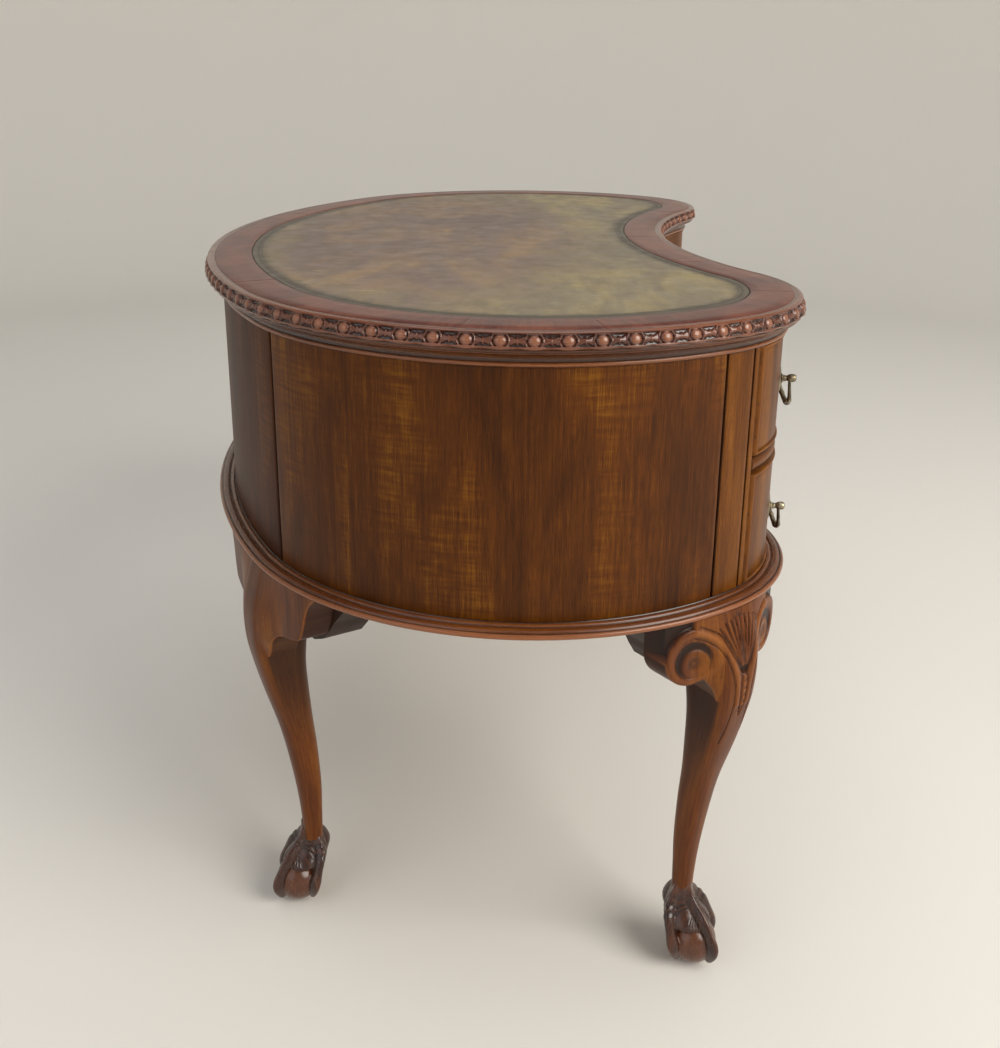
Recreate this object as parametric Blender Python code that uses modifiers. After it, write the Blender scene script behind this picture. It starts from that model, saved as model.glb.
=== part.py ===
# Kidney-shaped writing desk on four cabriole legs.
# Metres, +Z up. The width runs along X and the drawers open towards -Y.
# The plan is made of tangent arcs, so every piece that follows it is a parallel of one outline.

from math import acos, atan2, ceil, cos, pi, radians, sin, sqrt

import bmesh
import bpy
from mathutils import Matrix, Vector

# Heights, stacked from the floor up
leg_height = 0.468
base_thickness = 0.0098
lower_drawer_height = 0.1227
rail_height = 0.020
upper_drawer_height = 0.1169
carcase_top_thickness = 0.0197
board_thickness = 0.0151
veneer_thickness = 0.0016
leather_thickness = 0.0013

# Kidney plan at the leather's edge
back_radius = 0.812
end_radius = 0.299
lobe_radius = 0.140
waist_depth = 0.515
back_half_angle = radians(31.3)
end_angle = radians(97.3)

# How far each layer reaches out past the leather's edge
board_reach = 0.0455
edge_reach = 0.060
cove_reach = 0.0555
carcase_reach = 0.038
base_reach = 0.059

# Profiles of the mouldings, from the lower inner corner, as shares of their width and height
edge_shares = [(0, 0), (0.80, 0), (1, 0.18), (0.93, 0.50), (0.62, 0.80), (0.30, 1), (0, 1)]
cove_shares = [(0, 0), (0.20, 0), (0.27, 0.25), (0.45, 0.58), (0.95, 0.80), (1, 1), (0, 1)]
base_shares = [
    (0, 0), (0.94, 0), (1, 0.22), (1, 0.50), (0.94, 0.72), (0.86, 0.76), (0.79, 0.92), (0.66, 1),
    (0, 1),
]

# Carcase
wall_thickness = 0.020
base_width = 0.044
kneehole_half_width = 0.2355
kneehole_side_thickness = 0.015
inner_stile_width = 0.0215
opening_past_lobe = 0.1172
pilaster_width = 0.0515
end_panel_width = 0.515
groove_size = 0.0016
rail_depth = 0.055
soffit_thickness = 0.014
runner_width = 0.018
runner_height = 0.020

# Drawers
front_thickness = 0.020
drawer_depth = 0.350
drawer_side_thickness = 0.010
drawer_side_drop = 0.012
drawer_bottom_thickness = 0.005
drawer_bottom_rise = 0.006
cockbead_width = 0.0032
cockbead_proud = 0.002

# Brass handles
post_spacing = 0.064
post_radius = 0.0046
post_foot_radius = 0.0044
post_steps = 10
post_shares = [(0, 1.42), (0.62, 1.38), (1, 1.16), (1, 0.84), (0.58, 0.58), (0.58, 0.42)]
pin_reach = 0.0115
pin_radius = 0.0014
pin_hole_radius = 0.0019
pin_hole_depth = 0.0040
plate_thickness = 0.0014
plate_width = 0.088
plate_height = 0.038
bail_width = 0.047
bail_drop = 0.0335
bail_radius = 0.0022
bail_steps = 12
bail_fullness_share = 0.8
handle_height_shares = {"upper": 0.50, "lower": 0.42}
centre_handle_share = 0.53
# half of the backplate's edge, from its lower middle to its upper, as shares of half its size
plate_shares = [
    (0, -0.72), (0.16, -1), (0.34, -0.78), (0.50, -0.66), (0.72, -0.84), (0.92, -0.52),
    (1, 0), (0.92, 0.48), (0.74, 0.74), (0.52, 0.56), (0.30, 0.80), (0.12, 1),
]

# Legs, measured from the base moulding's edge
rear_leg_setback = 0.037
rear_leg_tuck = 0.004
front_leg_share = 0.4
knee_depth = 0.067
knee_width = 0.060
ankle_setback = 0.0530
foot_setback = 0.031
ball_radius = 0.0285
claw_radius = 0.0068
foot_flat_depth = 0.0006
leg_sides = 12
# rows up a leg: shares of its height, the ankle's setback, the knee's depth and its width
leg_share_rows = [
    (0.130, 0.92, 0.35, 0.39), (0.172, 0.98, 0.33, 0.37), (0.256, 0.97, 0.38, 0.40),
    (0.340, 0.93, 0.45, 0.47), (0.449, 0.82, 0.53, 0.56), (0.534, 0.70, 0.60, 0.63),
    (0.641, 0.52, 0.74, 0.78), (0.720, 0.41, 0.84, 0.88), (0.790, 0.37, 0.96, 0.95),
    (0.870, 0.40, 1.02, 1.00), (0.940, 0.50, 0.97, 1.00), (1.000, 0.60, 0.90, 1.00),
]
# how square a leg's section is at the ankle, and how much squarer it gets above the knee
ankle_squareness = 2.4
knee_squareness = 4
knee_height_share = 0.7
# a toe from the ankle over its knuckle: shares of the ball's radius out and up, and of its own
toe_share_rows = [
    (0.20, 2.85, 0.95), (0.72, 2.30, 1.05), (0.98, 1.65, 1.00), (1.08, 1.00, 0.85),
    (0.92, 0.42, 0.60),
]

# Ears beside the knees and the blocks behind them
front_ear_length = 0.058
front_ear_drop = 0.075
rear_ear_length = 0.095
rear_ear_drop = 0.070
ear_thickness = 0.032
ear_setback = 0.004
volute_radius = 0.0315
volute_turns = [radians(turn) for turn in range(-120, 31, 25)]
ear_rise_share = 0.12
ogee_shares = [
    (0, 0), (0.28, 0), (0.52, 0.08), (0.68, 0.14), (0.73, 0.24), (0.78, 0.49), (0.87, 0.82),
    (0.96, 0.94), (1, 1),
]
block_shares = [(1, 1), (0.98, 0.80), (0.82, 0.45), (0.76, 0.28), (0.68, 0.10), (0.55, 0)]
bracket_depth = 0.078
corner_block_drop = 0.075
block_overhang = 0.006

# Clearances
fit = 0.0003
running_gap = 0.0008
facet_sag = 0.0005
weld_distance = 0.00003
cut_overrun = 0.010

# Heights that follow
base_bottom_z = leg_height
base_top_z = base_bottom_z + base_thickness
wall_bottom_z = base_top_z + fit
lower_opening_top_z = wall_bottom_z + lower_drawer_height
upper_opening_bottom_z = lower_opening_top_z + rail_height
wall_top_z = upper_opening_bottom_z + upper_drawer_height
carcase_top_bottom_z = wall_top_z + fit
carcase_top_z = carcase_top_bottom_z + carcase_top_thickness
board_bottom_z = carcase_top_z + fit
board_top_z = board_bottom_z + board_thickness
desk_height = board_top_z + fit + veneer_thickness

# Arcs of the right half, from the middle of the back round to the waist: centre, radius, start, sweep
back_start = pi / 2
end_start = back_start - back_half_angle
lobe_start = end_start - end_angle


def direction(angle):
    return Vector((cos(angle), sin(angle)))


half_depth = (back_radius - lobe_radius + (back_radius - end_radius) * sin(end_start)
              + (end_radius - lobe_radius) * sin(lobe_start)) / 2
back_centre = Vector((0, -half_depth))
end_centre = back_centre + (back_radius - end_radius) * direction(end_start)
lobe_centre = end_centre + (end_radius - lobe_radius) * direction(lobe_start)
waist_y = back_centre.y + back_radius - waist_depth
lobe_rise = lobe_centre.y - waist_y
waist_radius = ((lobe_centre.x ** 2 + lobe_rise ** 2 - lobe_radius ** 2)
                / (2 * (lobe_radius - lobe_rise)))
waist_centre = Vector((0, waist_y - waist_radius))
to_waist = waist_centre - lobe_centre
waist_start = atan2(-to_waist.y, -to_waist.x)
lobe_end = waist_start - pi
lobe_sweep = lobe_start - lobe_end
arcs = [
    (back_centre, back_radius, 1, back_start, back_half_angle),
    (end_centre, end_radius, 1, end_start, end_angle),
    (lobe_centre, lobe_radius, 1, lobe_start, lobe_sweep),
    (waist_centre, waist_radius, -1, waist_start, pi / 2 - waist_start),
]


def arc_length(arc):
    centre, radius, side, start, sweep = arc
    return (radius + side * carcase_reach) * sweep


arc_lengths = [arc_length(arc) for arc in arcs]
half_length = sum(arc_lengths)
widest_station = arc_lengths[0] + (end_radius + carcase_reach) * end_start


def place(station):
    # the arc that holds a station, and the angle on it; stations run along the carcase's outer face
    left = station
    for arc, length in zip(arcs, arc_lengths):
        if left <= length or arc is arcs[-1]:
            centre, radius, side, start, sweep = arc
            step = left / (radius + side * carcase_reach)
            return arc, start - step if side > 0 else start + step
        left -= length


def outline_point(station, reach):
    (centre, radius, side, start, sweep), angle = place(station)
    return centre + (radius + side * reach) * direction(angle)


def outline_normal(station):
    (centre, radius, side, start, sweep), angle = place(station)
    return side * direction(angle)


def facets(arc):
    centre, radius, side, start, sweep = arc
    step = 2 * acos(1 - facet_sag / (radius + side * carcase_reach))
    return max(2, ceil(sweep / step))


def stations(first, last):
    # stations from first to last, dense enough that no facet is flatter than facet_sag
    marks = [first]
    begin = 0
    for arc, length in zip(arcs, arc_lengths):
        count = facets(arc)
        for step in range(count + 1):
            mark = begin + length * step / count
            if first + facet_sag < mark < last - facet_sag and mark - marks[-1] > facet_sag:
                marks.append(mark)
        begin += length
    return marks + [last]


def half_outline(reach):
    return [outline_point(mark, reach) for mark in stations(0, half_length)]


def mirrored(points):
    return [Vector((-point.x, point.y)) for point in points]


def full_outline(reach):
    right = half_outline(reach)
    return right + mirrored(right[1:-1])[::-1]


def height_over(points, x):
    # where a run of points, in order of x, crosses one x
    after = 1
    while after < len(points) - 1 and points[after].x < x:
        after += 1
    low, high = points[after - 1], points[after]
    return low.y + (high.y - low.y) * (x - low.x) / (high.x - low.x)


def back_edge(reach):
    # the right half's back edge, out from the middle to the widest place
    return [outline_point(mark, reach) for mark in stations(0, widest_station)]


def front_edge(reach):
    # the right half's front edge, out from the middle of the waist to the widest place
    return [outline_point(mark, reach) for mark in stations(widest_station, half_length)][::-1]


def back_y(x, reach):
    return height_over(back_edge(reach), abs(x))


def front_y(x, reach):
    return height_over(front_edge(reach), abs(x))


def between(points, x_from, x_to):
    # the points of a whole edge that lie between two x places, with its crossing of each
    whole = mirrored(points[1:])[::-1] + points
    inside = [point for point in whole if x_from + fit < point.x < x_to - fit]
    ends = [Vector((x, height_over(points, abs(x)))) for x in (x_from, x_to)]
    return [ends[0]] + inside + [ends[1]]


def front_line(x_from, x_to, reach):
    return between(front_edge(reach), x_from, x_to)


def back_line(x_from, x_to, reach):
    return between(back_edge(reach), x_from, x_to)


def moved(points, step):
    # points shifted along the desk's depth
    return [point + Vector((0, step)) for point in points]


def clipped_right(reach, x_limit):
    # the right half of the plan outside the plane x = x_limit
    inside = [point for point in half_outline(reach) if point.x > x_limit + facet_sag]
    first = Vector((x_limit, back_y(x_limit, reach)))
    last = Vector((x_limit, front_y(x_limit, reach)))
    return [first] + inside + [last]


# Collections and materials
for old in list(bpy.data.objects):
    bpy.data.objects.remove(old, do_unlink=True)
desk = bpy.data.collections.new("kidney_desk")
cutters = bpy.data.collections.new("cutters")
bpy.context.scene.collection.children.link(desk)
bpy.context.scene.collection.children.link(cutters)

finishes = {
    "walnut": ((0.165, 0.058, 0.020), 0.32, 0.0),
    "crossband": ((0.190, 0.052, 0.028), 0.28, 0.0),
    "carving": ((0.120, 0.042, 0.018), 0.38, 0.0),
    "pilaster": ((0.270, 0.115, 0.035), 0.34, 0.0),
    "drawer_lining": ((0.420, 0.260, 0.120), 0.60, 0.0),
    "leather": ((0.150, 0.125, 0.055), 0.50, 0.0),
    "brass": ((0.420, 0.330, 0.180), 0.35, 1.0),
}


def dress(item, finish):
    colour, roughness, metallic = finishes[finish]
    material = bpy.data.materials.new(item.name)
    material.use_nodes = True
    shader = material.node_tree.nodes["Principled BSDF"]
    shader.inputs["Base Color"].default_value = (*colour, 1)
    shader.inputs["Roughness"].default_value = roughness
    shader.inputs["Metallic"].default_value = metallic
    material.diffuse_color = (*colour, 1)
    item.data.materials.clear()
    item.data.materials.append(material)


def keep(item, name, finish):
    # file an object under its node's name, in its own material
    for collection in list(item.users_collection):
        collection.objects.unlink(item)
    desk.objects.link(item)
    item.name = name
    item.data.name = name
    dress(item, finish)
    return item


def solid_from_curve(curve_object):
    # a curve made into one closed mesh, with its caps welded
    graph = bpy.context.evaluated_depsgraph_get()
    mesh = bpy.data.meshes.new_from_object(curve_object.evaluated_get(graph))
    work = bmesh.new()
    work.from_mesh(mesh)
    bmesh.ops.remove_doubles(work, verts=work.verts, dist=weld_distance)
    bmesh.ops.recalc_face_normals(work, faces=work.faces)
    work.to_mesh(mesh)
    work.free()
    item = bpy.data.objects.new(curve_object.name, mesh)
    item.matrix_world = curve_object.matrix_world
    cutters.objects.link(item)
    bpy.data.objects.remove(curve_object, do_unlink=True)
    return item


def flat_solid(points, low, high):
    # a flat outline in plan, from one height to another
    curve = bpy.data.curves.new("outline", "CURVE")
    curve.dimensions = "2D"
    curve.fill_mode = "BOTH"
    curve.extrude = (high - low) / 2
    spline = curve.splines.new("POLY")
    spline.points.add(len(points) - 1)
    for spot, point in zip(spline.points, points):
        spot.co = (point.x, point.y, 0, 1)
    spline.use_cyclic_u = True
    item = bpy.data.objects.new("outline", curve)
    item.location.z = (high + low) / 2
    cutters.objects.link(item)
    bpy.context.view_layer.update()
    return solid_from_curve(item)


def upright_solid(points, origin, facing, near, far):
    # a flat outline (sideways, up) carried along a level direction, from near to far of its origin
    item = flat_solid(points, near, far)
    forward = Vector((facing.x, facing.y, 0)).normalized()
    sideways = Vector((0, 0, 1)).cross(forward)
    turn = Matrix((sideways, Vector((0, 0, 1)), forward)).transposed().to_4x4()
    item.data.transform(Matrix.Translation(origin) @ turn @ item.matrix_world)
    item.matrix_world = Matrix.Identity(4)
    return item


def moulding(profile, path):
    # a profile of (reach, height) carried round the plan; a section's +X lies on the inner side
    section = bpy.data.curves.new("section", "CURVE")
    section.dimensions = "2D"
    spline = section.splines.new("POLY")
    spline.points.add(len(profile) - 1)
    for spot, (reach, height) in zip(spline.points, profile):
        spot.co = (-reach, height, 0, 1)
    spline.use_cyclic_u = True
    section_object = bpy.data.objects.new("section", section)
    cutters.objects.link(section_object)
    curve = bpy.data.curves.new("path", "CURVE")
    curve.dimensions = "2D"
    curve.fill_mode = "NONE"
    curve.bevel_mode = "OBJECT"
    curve.bevel_object = section_object
    spline = curve.splines.new("POLY")
    spline.points.add(len(path) - 1)
    for spot, point in zip(spline.points, path):
        spot.co = (point.x, point.y, 0, 1)
    spline.use_cyclic_u = True
    item = bpy.data.objects.new("path", curve)
    cutters.objects.link(item)
    bpy.context.view_layer.update()
    made = solid_from_curve(item)
    bpy.data.objects.remove(section_object, do_unlink=True)
    return made


def boolean(item, tool, operation):
    # one Boolean, applied; the tool is used up
    change = item.modifiers.new(operation, "BOOLEAN")
    change.operation = operation
    change.solver = "EXACT"
    change.object = tool
    bpy.context.view_layer.update()
    graph = bpy.context.evaluated_depsgraph_get()
    mesh = bpy.data.meshes.new_from_object(item.evaluated_get(graph))
    item.modifiers.clear()
    item.data = mesh
    bpy.data.objects.remove(tool, do_unlink=True)
    return item


def box_points(x_low, x_high, y_low, y_high):
    return [Vector((x_low, y_low)), Vector((x_high, y_low)), Vector((x_high, y_high)),
            Vector((x_low, y_high))]


# Top
def round_plan(profile):
    # a profile carried all the way round the kidney, built on its innermost line
    start = profile[0][0]
    section = [(reach - start, height) for reach, height in profile]
    return moulding(section, full_outline(start))


def profile_from(share_rows, inner, outer, low, high):
    # a moulding's profile set out between two reaches and two heights
    return [(inner + (outer - inner) * across, low + (high - low) * up) for across, up in share_rows]


def make_top():
    carcase_top = flat_solid(full_outline(carcase_reach), carcase_top_bottom_z, carcase_top_z)
    keep(carcase_top, "carcase_top", "drawer_lining")
    keep(flat_solid(full_outline(board_reach), board_bottom_z, board_top_z), "top_board", "walnut")
    inset_z = board_top_z + fit
    leather = flat_solid(full_outline(-fit), inset_z, inset_z + leather_thickness)
    keep(leather, "leather_inset", "leather")

    band = [(fit, inset_z), (board_reach, inset_z), (board_reach, desk_height), (fit, desk_height)]
    keep(round_plan(band), "crossband", "crossband")
    edge = profile_from(edge_shares, board_reach + fit, edge_reach, board_bottom_z, desk_height)
    keep(round_plan(edge), "carved_edge", "carving")
    cove = profile_from(cove_shares, carcase_reach + fit, cove_reach, carcase_top_bottom_z,
                        carcase_top_z)
    keep(round_plan(cove), "under_moulding", "walnut")


# Carcase
def strip(first, last, inner, outer, chamfer):
    # plan of a panel between two stations, with its outer corners taken off to form the grooves
    outside = [outline_point(mark, outer) for mark in stations(first + chamfer, last - chamfer)]
    inside = [outline_point(mark, inner) for mark in stations(first, last)]
    start = outline_point(first, outer - chamfer)
    end = outline_point(last, outer - chamfer)
    return [start] + outside + [end] + inside[::-1]


def front_station(x):
    # the station on the front whose place on the carcase's outer face has this x
    near, far = widest_station, half_length
    while far - near > weld_distance:
        middle = (near + far) / 2
        if outline_point(middle, carcase_reach).x > x:
            near = middle
        else:
            far = middle
    return middle


# The drawers' openings come first, then the pilaster and the end panel run back from them
wall_inner = carcase_reach - wall_thickness
opening_inner_x = kneehole_half_width + inner_stile_width
opening_outer_x = lobe_centre.x + opening_past_lobe
opening_edge = front_station(opening_outer_x)
groove_front = opening_edge - pilaster_width
groove_back = groove_front - end_panel_width


def make_walls():
    half = strip(-fit, groove_back - fit / 2, wall_inner, carcase_reach, groove_size)
    right = [point for point in half if point.x > facet_sag]
    outer_middle = Vector((0, back_y(0, carcase_reach)))
    inner_middle = Vector((0, back_y(0, wall_inner)))
    plan = [outer_middle] + right + [inner_middle] + mirrored(right)[::-1]
    keep(flat_solid(plan, wall_bottom_z, wall_top_z), "back_panel", "walnut")

    end_plan = strip(groove_back + fit / 2, groove_front - fit / 2, wall_inner, carcase_reach,
                     groove_size)
    for side in ("right", "left"):
        plan = end_plan if side == "right" else mirrored(end_plan)
        keep(flat_solid(plan, wall_bottom_z, wall_top_z), "end_panel_" + side, "walnut")

    # pilaster, ending on the plane that the drawers slide past
    first = groove_front + fit / 2
    plane_x = opening_outer_x
    outside = [outline_point(mark, carcase_reach)
               for mark in stations(first + groove_size, opening_edge)]
    back = [outline_point(mark, wall_inner) for mark in stations(first, opening_edge)]
    outside = [point for point in outside if point.x > plane_x + fit]
    outside.append(Vector((plane_x, front_y(plane_x, carcase_reach))))
    back = [point for point in back if point.x > plane_x + fit]
    back.append(Vector((plane_x, front_y(plane_x, wall_inner))))
    pilaster_plan = [outline_point(first, carcase_reach - groove_size)] + outside + back[::-1]

    # side of the kneehole: its stile follows the waist, and its board runs to the back panel
    side_x = kneehole_half_width + kneehole_side_thickness
    side_plan = front_line(kneehole_half_width, opening_inner_x, carcase_reach)
    side_plan += front_line(side_x, opening_inner_x, wall_inner)[::-1]
    side_plan += moved(back_line(kneehole_half_width, side_x, wall_inner), -fit)[::-1]
    for side in ("right", "left"):
        for name, plan, finish in (
            ("pilaster_", pilaster_plan, "pilaster"),
            ("kneehole_side_", side_plan, "walnut"),
        ):
            shape = plan if side == "right" else mirrored(plan)
            keep(flat_solid(shape, wall_bottom_z, wall_top_z), name + side, finish)


def make_base():
    inner = base_reach - base_width
    for side in ("right", "left"):
        plan = clipped_right(inner - fit, kneehole_half_width)
        plan = plan if side == "right" else mirrored(plan)
        keep(flat_solid(plan, base_bottom_z, base_top_z), "pedestal_base_" + side, "drawer_lining")
    # the moulding runs from one side of the kneehole round the back to the other
    ring = round_plan(profile_from(base_shares, inner, base_reach, base_bottom_z, base_top_z))
    gap = box_points(-kneehole_half_width, kneehole_half_width, -waist_depth, 0)
    cut = flat_solid(gap, base_bottom_z - cut_overrun, base_top_z + cut_overrun)
    keep(boolean(ring, cut, "DIFFERENCE"), "base_moulding", "carving")


def rail_plan(x_from, x_to, bulge):
    # a rail between two planes, its front following the plan
    outside = front_line(x_from, x_to, carcase_reach + bulge)
    inside = front_line(x_from, x_to, carcase_reach - rail_depth)
    return outside + inside[::-1]


def make_rails():
    rail_from = opening_inner_x + fit
    rail_to = opening_outer_x - fit
    low = lower_opening_top_z
    high = upper_opening_bottom_z
    plan = rail_plan(rail_from, rail_to, groove_size / 2)
    for side in ("right", "left"):
        shape = plan if side == "right" else mirrored(plan)
        keep(flat_solid(shape, low, high), "drawer_rail_" + side, "walnut")
    middle_from = -kneehole_half_width + fit
    middle = rail_plan(middle_from, -middle_from, groove_size / 2)
    keep(flat_solid(middle, low, high), "frieze_rail", "walnut")

    # board over the kneehole, behind the frieze rail; the centre drawer slides on it
    rail_back = carcase_reach - rail_depth
    plan = moved(front_line(middle_from, -middle_from, rail_back), fit)
    plan += moved(back_line(middle_from, -middle_from, wall_inner), -fit)[::-1]
    soffit = flat_solid(plan, high - soffit_thickness, high)
    keep(soffit, "kneehole_soffit", "walnut")

    # frames that the upper side drawers slide on, from the rails to the back
    frame_from = kneehole_half_width + kneehole_side_thickness + fit
    outline = moved(front_line(frame_from, rail_to, rail_back), fit)
    outline += moved(back_line(frame_from, rail_to, wall_inner), -fit)[::-1]
    gap_back = back_y(rail_to, wall_inner) - 2 * runner_width
    gap_front = front_y(frame_from, rail_back) + 2 * runner_width
    opening = box_points(frame_from + runner_width, rail_to - runner_width, gap_front, gap_back)
    for side in ("right", "left"):
        shape = outline if side == "right" else mirrored(outline)
        hole = opening if side == "right" else mirrored(opening)
        frame = flat_solid(shape, high - runner_height, high)
        cut = flat_solid(hole, low - cut_overrun, high + cut_overrun)
        keep(boolean(frame, cut, "DIFFERENCE"), "runner_frame_" + side, "drawer_lining")


# Drawers
def hang(piece, carrier):
    # parent a piece where it already stands
    piece.parent = carrier
    piece.matrix_parent_inverse = carrier.matrix_world.inverted()


drawer_rows = {
    "lower": (wall_bottom_z, lower_opening_top_z - running_gap),
    "upper": (upper_opening_bottom_z + fit, wall_top_z - running_gap),
}
side_span = (opening_inner_x + running_gap, opening_outer_x - running_gap)
centre_span = (running_gap - kneehole_half_width, kneehole_half_width - running_gap)


def make_drawer(name, span, row):
    # the empty marks the line that the drawer slides on, and carries all of its pieces
    x_low, x_high = span
    z_low, z_high = drawer_rows[row]
    inner = carcase_reach - front_thickness
    slide = bpy.data.objects.new(name + "_slide", None)
    middle_x = (x_low + x_high) / 2
    slide.location = (middle_x, front_y(middle_x, carcase_reach), z_low)
    desk.objects.link(slide)
    bpy.context.view_layer.update()

    # front with its cockbead, which stands a little proud all round
    bead_reach = carcase_reach + cockbead_proud
    plan = front_line(x_low, x_high, bead_reach) + front_line(x_low, x_high, inner)[::-1]
    front = flat_solid(plan, z_low, z_high)
    field_low = x_low + cockbead_width
    field_high = x_high - cockbead_width
    plan = front_line(field_low, field_high, bead_reach + cockbead_proud)
    plan += front_line(field_low, field_high, carcase_reach)[::-1]
    field = flat_solid(plan, z_low + cockbead_width, z_high - cockbead_width)
    hang(keep(boolean(front, field, "DIFFERENCE"), name + "_front", "walnut"), slide)

    # sides and back in one U, open above
    rear = max(front_y(x_low, inner), front_y(x_high, inner)) + drawer_depth
    side = drawer_side_thickness
    box_low = z_low
    box_high = z_high - drawer_side_drop
    u_plan = moved(front_line(x_low, x_low + side, inner), fit)
    u_plan += [Vector((x_low + side, rear - side)), Vector((x_high - side, rear - side))]
    u_plan += moved(front_line(x_high - side, x_high, inner), fit)
    u_plan += [Vector((x_high, rear)), Vector((x_low, rear))]
    hang(keep(flat_solid(u_plan, box_low, box_high), name + "_box", "drawer_lining"), slide)

    bottom_low = box_low + drawer_bottom_rise
    floor_from = x_low + side + fit
    floor_to = x_high - side - fit
    floor_plan = moved(front_line(floor_from, floor_to, inner), fit)
    floor_plan += [Vector((floor_to, rear - side - fit)), Vector((floor_from, rear - side - fit))]
    bottom = flat_solid(floor_plan, bottom_low, bottom_low + drawer_bottom_thickness)
    hang(keep(bottom, name + "_bottom", "drawer_lining"), slide)


def make_drawers():
    left_span = (-side_span[1], -side_span[0])
    for row in ("upper", "lower"):
        make_drawer("drawer_" + row + "_right", side_span, row)
        make_drawer("drawer_" + row + "_left", left_span, row)
    make_drawer("drawer_centre", centre_span, "upper")


# Handles
def plate_outline():
    half = [Vector((across * plate_width / 2, up * plate_height / 2)) for across, up in plate_shares]
    return half + mirrored(half[1:])[::-1]


def turned(profile, steps):
    # a turned solid about local Z from (radius, height) pairs, top to bottom
    mesh = bpy.data.meshes.new("profile")
    mesh.from_pydata([(radius, 0, height) for radius, height in profile],
                     [(index, index + 1) for index in range(len(profile) - 1)], [])
    item = bpy.data.objects.new("turned", mesh)
    cutters.objects.link(item)
    spin = item.modifiers.new("Screw", "SCREW")
    spin.axis = "Z"
    spin.steps = steps
    spin.render_steps = steps
    spin.use_merge_vertices = True
    spin.merge_threshold = weld_distance
    bpy.context.view_layer.update()
    graph = bpy.context.evaluated_depsgraph_get()
    solid = bpy.data.meshes.new_from_object(item.evaluated_get(graph))
    item.modifiers.clear()
    item.data = solid
    return item


def handle_frame(x):
    # where a handle sits on the drawer fronts: its foot, and its outward direction
    foot = Vector((x, front_y(x, carcase_reach)))
    lobe_middle = Vector((lobe_centre.x if x > 0 else -lobe_centre.x, lobe_centre.y))
    on_lobe = abs(x) > lobe_centre.x + (lobe_radius + carcase_reach) * cos(lobe_end)
    outward = foot - lobe_middle if on_lobe else waist_centre - foot
    return foot, outward.normalized()


def make_plate(x, z):
    foot, outward = handle_frame(x)
    sideways = Vector((-outward.y, outward.x))
    reach = carcase_reach + fit
    x_low = x - plate_width / 2
    x_high = x + plate_width / 2
    shell = front_line(x_low, x_high, reach + plate_thickness)
    shell += front_line(x_low, x_high, reach)[::-1]
    plate = flat_solid(shell, z - plate_height / 2, z + plate_height / 2)
    origin = Vector((foot.x, foot.y, z))
    cut = upright_solid(plate_outline(), origin, outward, -cut_overrun, cut_overrun)
    boolean(plate, cut, "INTERSECT")

    outward_3d = Vector((outward.x, outward.y, 0))
    side_3d = Vector((sideways.x, sideways.y, 0))
    turn = Matrix((side_3d, outward_3d.cross(side_3d), outward_3d)).transposed().to_4x4()
    for end in (-1, 1):
        spot = origin + side_3d * end * post_spacing / 2
        fall = (foot - Vector((spot.x, front_y(spot.x, carcase_reach)))).dot(outward)
        seat = plate_thickness - fall
        profile = [(post_radius * across, pin_reach * out) for across, out in post_shares]
        profile += [(post_foot_radius, seat + plate_thickness), (post_foot_radius, seat), (0, seat)]
        post = turned(profile, post_steps)
        post.data.transform(Matrix.Translation(spot) @ turn)
        boolean(plate, post, "UNION")
        mouth = spot + outward_3d * pin_reach - side_3d * end * post_radius
        boolean(plate, drill(mouth, side_3d * end), "DIFFERENCE")
    return plate


def drill(mouth, along):
    # round cutter for a blind hole, from outside its mouth to its depth
    work = bmesh.new()
    length = pin_hole_depth * 2
    bmesh.ops.create_cone(work, cap_ends=True, segments=8, radius1=pin_hole_radius,
                          radius2=pin_hole_radius, depth=length)
    mesh = bpy.data.meshes.new("drill")
    work.to_mesh(mesh)
    work.free()
    turn = along.to_track_quat("Z", "Y").to_matrix().to_4x4()
    mesh.transform(Matrix.Translation(mouth) @ turn)
    item = bpy.data.objects.new("drill", mesh)
    cutters.objects.link(item)
    return item


def make_bail(name, x, z):
    # the swinging bail, its origin on the line through its two pins
    foot, outward = handle_frame(x)
    pin_end = post_spacing / 2 - post_radius + pin_hole_depth - 2 * fit
    shoulder = bail_width / 2
    curve = bpy.data.curves.new(name, "CURVE")
    curve.dimensions = "3D"
    curve.bevel_depth = pin_radius
    curve.bevel_resolution = 1
    curve.use_fill_caps = True
    points = [(pin_end, 0, 1), (shoulder, 0, 1)]
    for step in range(1, bail_steps):
        angle = pi * step / bail_steps
        swell = 1 + (bail_radius / pin_radius - 1) * sin(angle)
        fall = bail_drop * sin(angle) ** bail_fullness_share
        points.append((shoulder * cos(angle), -fall, swell))
    points += [(-shoulder, 0, 1), (-pin_end, 0, 1)]
    spline = curve.splines.new("POLY")
    spline.points.add(len(points) - 1)
    for spot, (across, down, swell) in zip(spline.points, points):
        spot.co = (across, 0, down, 1)
        spot.radius = swell
    item = bpy.data.objects.new(name, curve)
    cutters.objects.link(item)
    bpy.context.view_layer.update()
    item = solid_from_curve(item)
    item.rotation_euler.z = atan2(outward.x, -outward.y)
    item.location = (foot.x + outward.x * pin_reach, foot.y + outward.y * pin_reach, z)
    return keep(item, name, "brass")


def handle_height(row):
    z_low, z_high = drawer_rows[row]
    return z_low + (z_high - z_low) * handle_height_shares[row]


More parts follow.
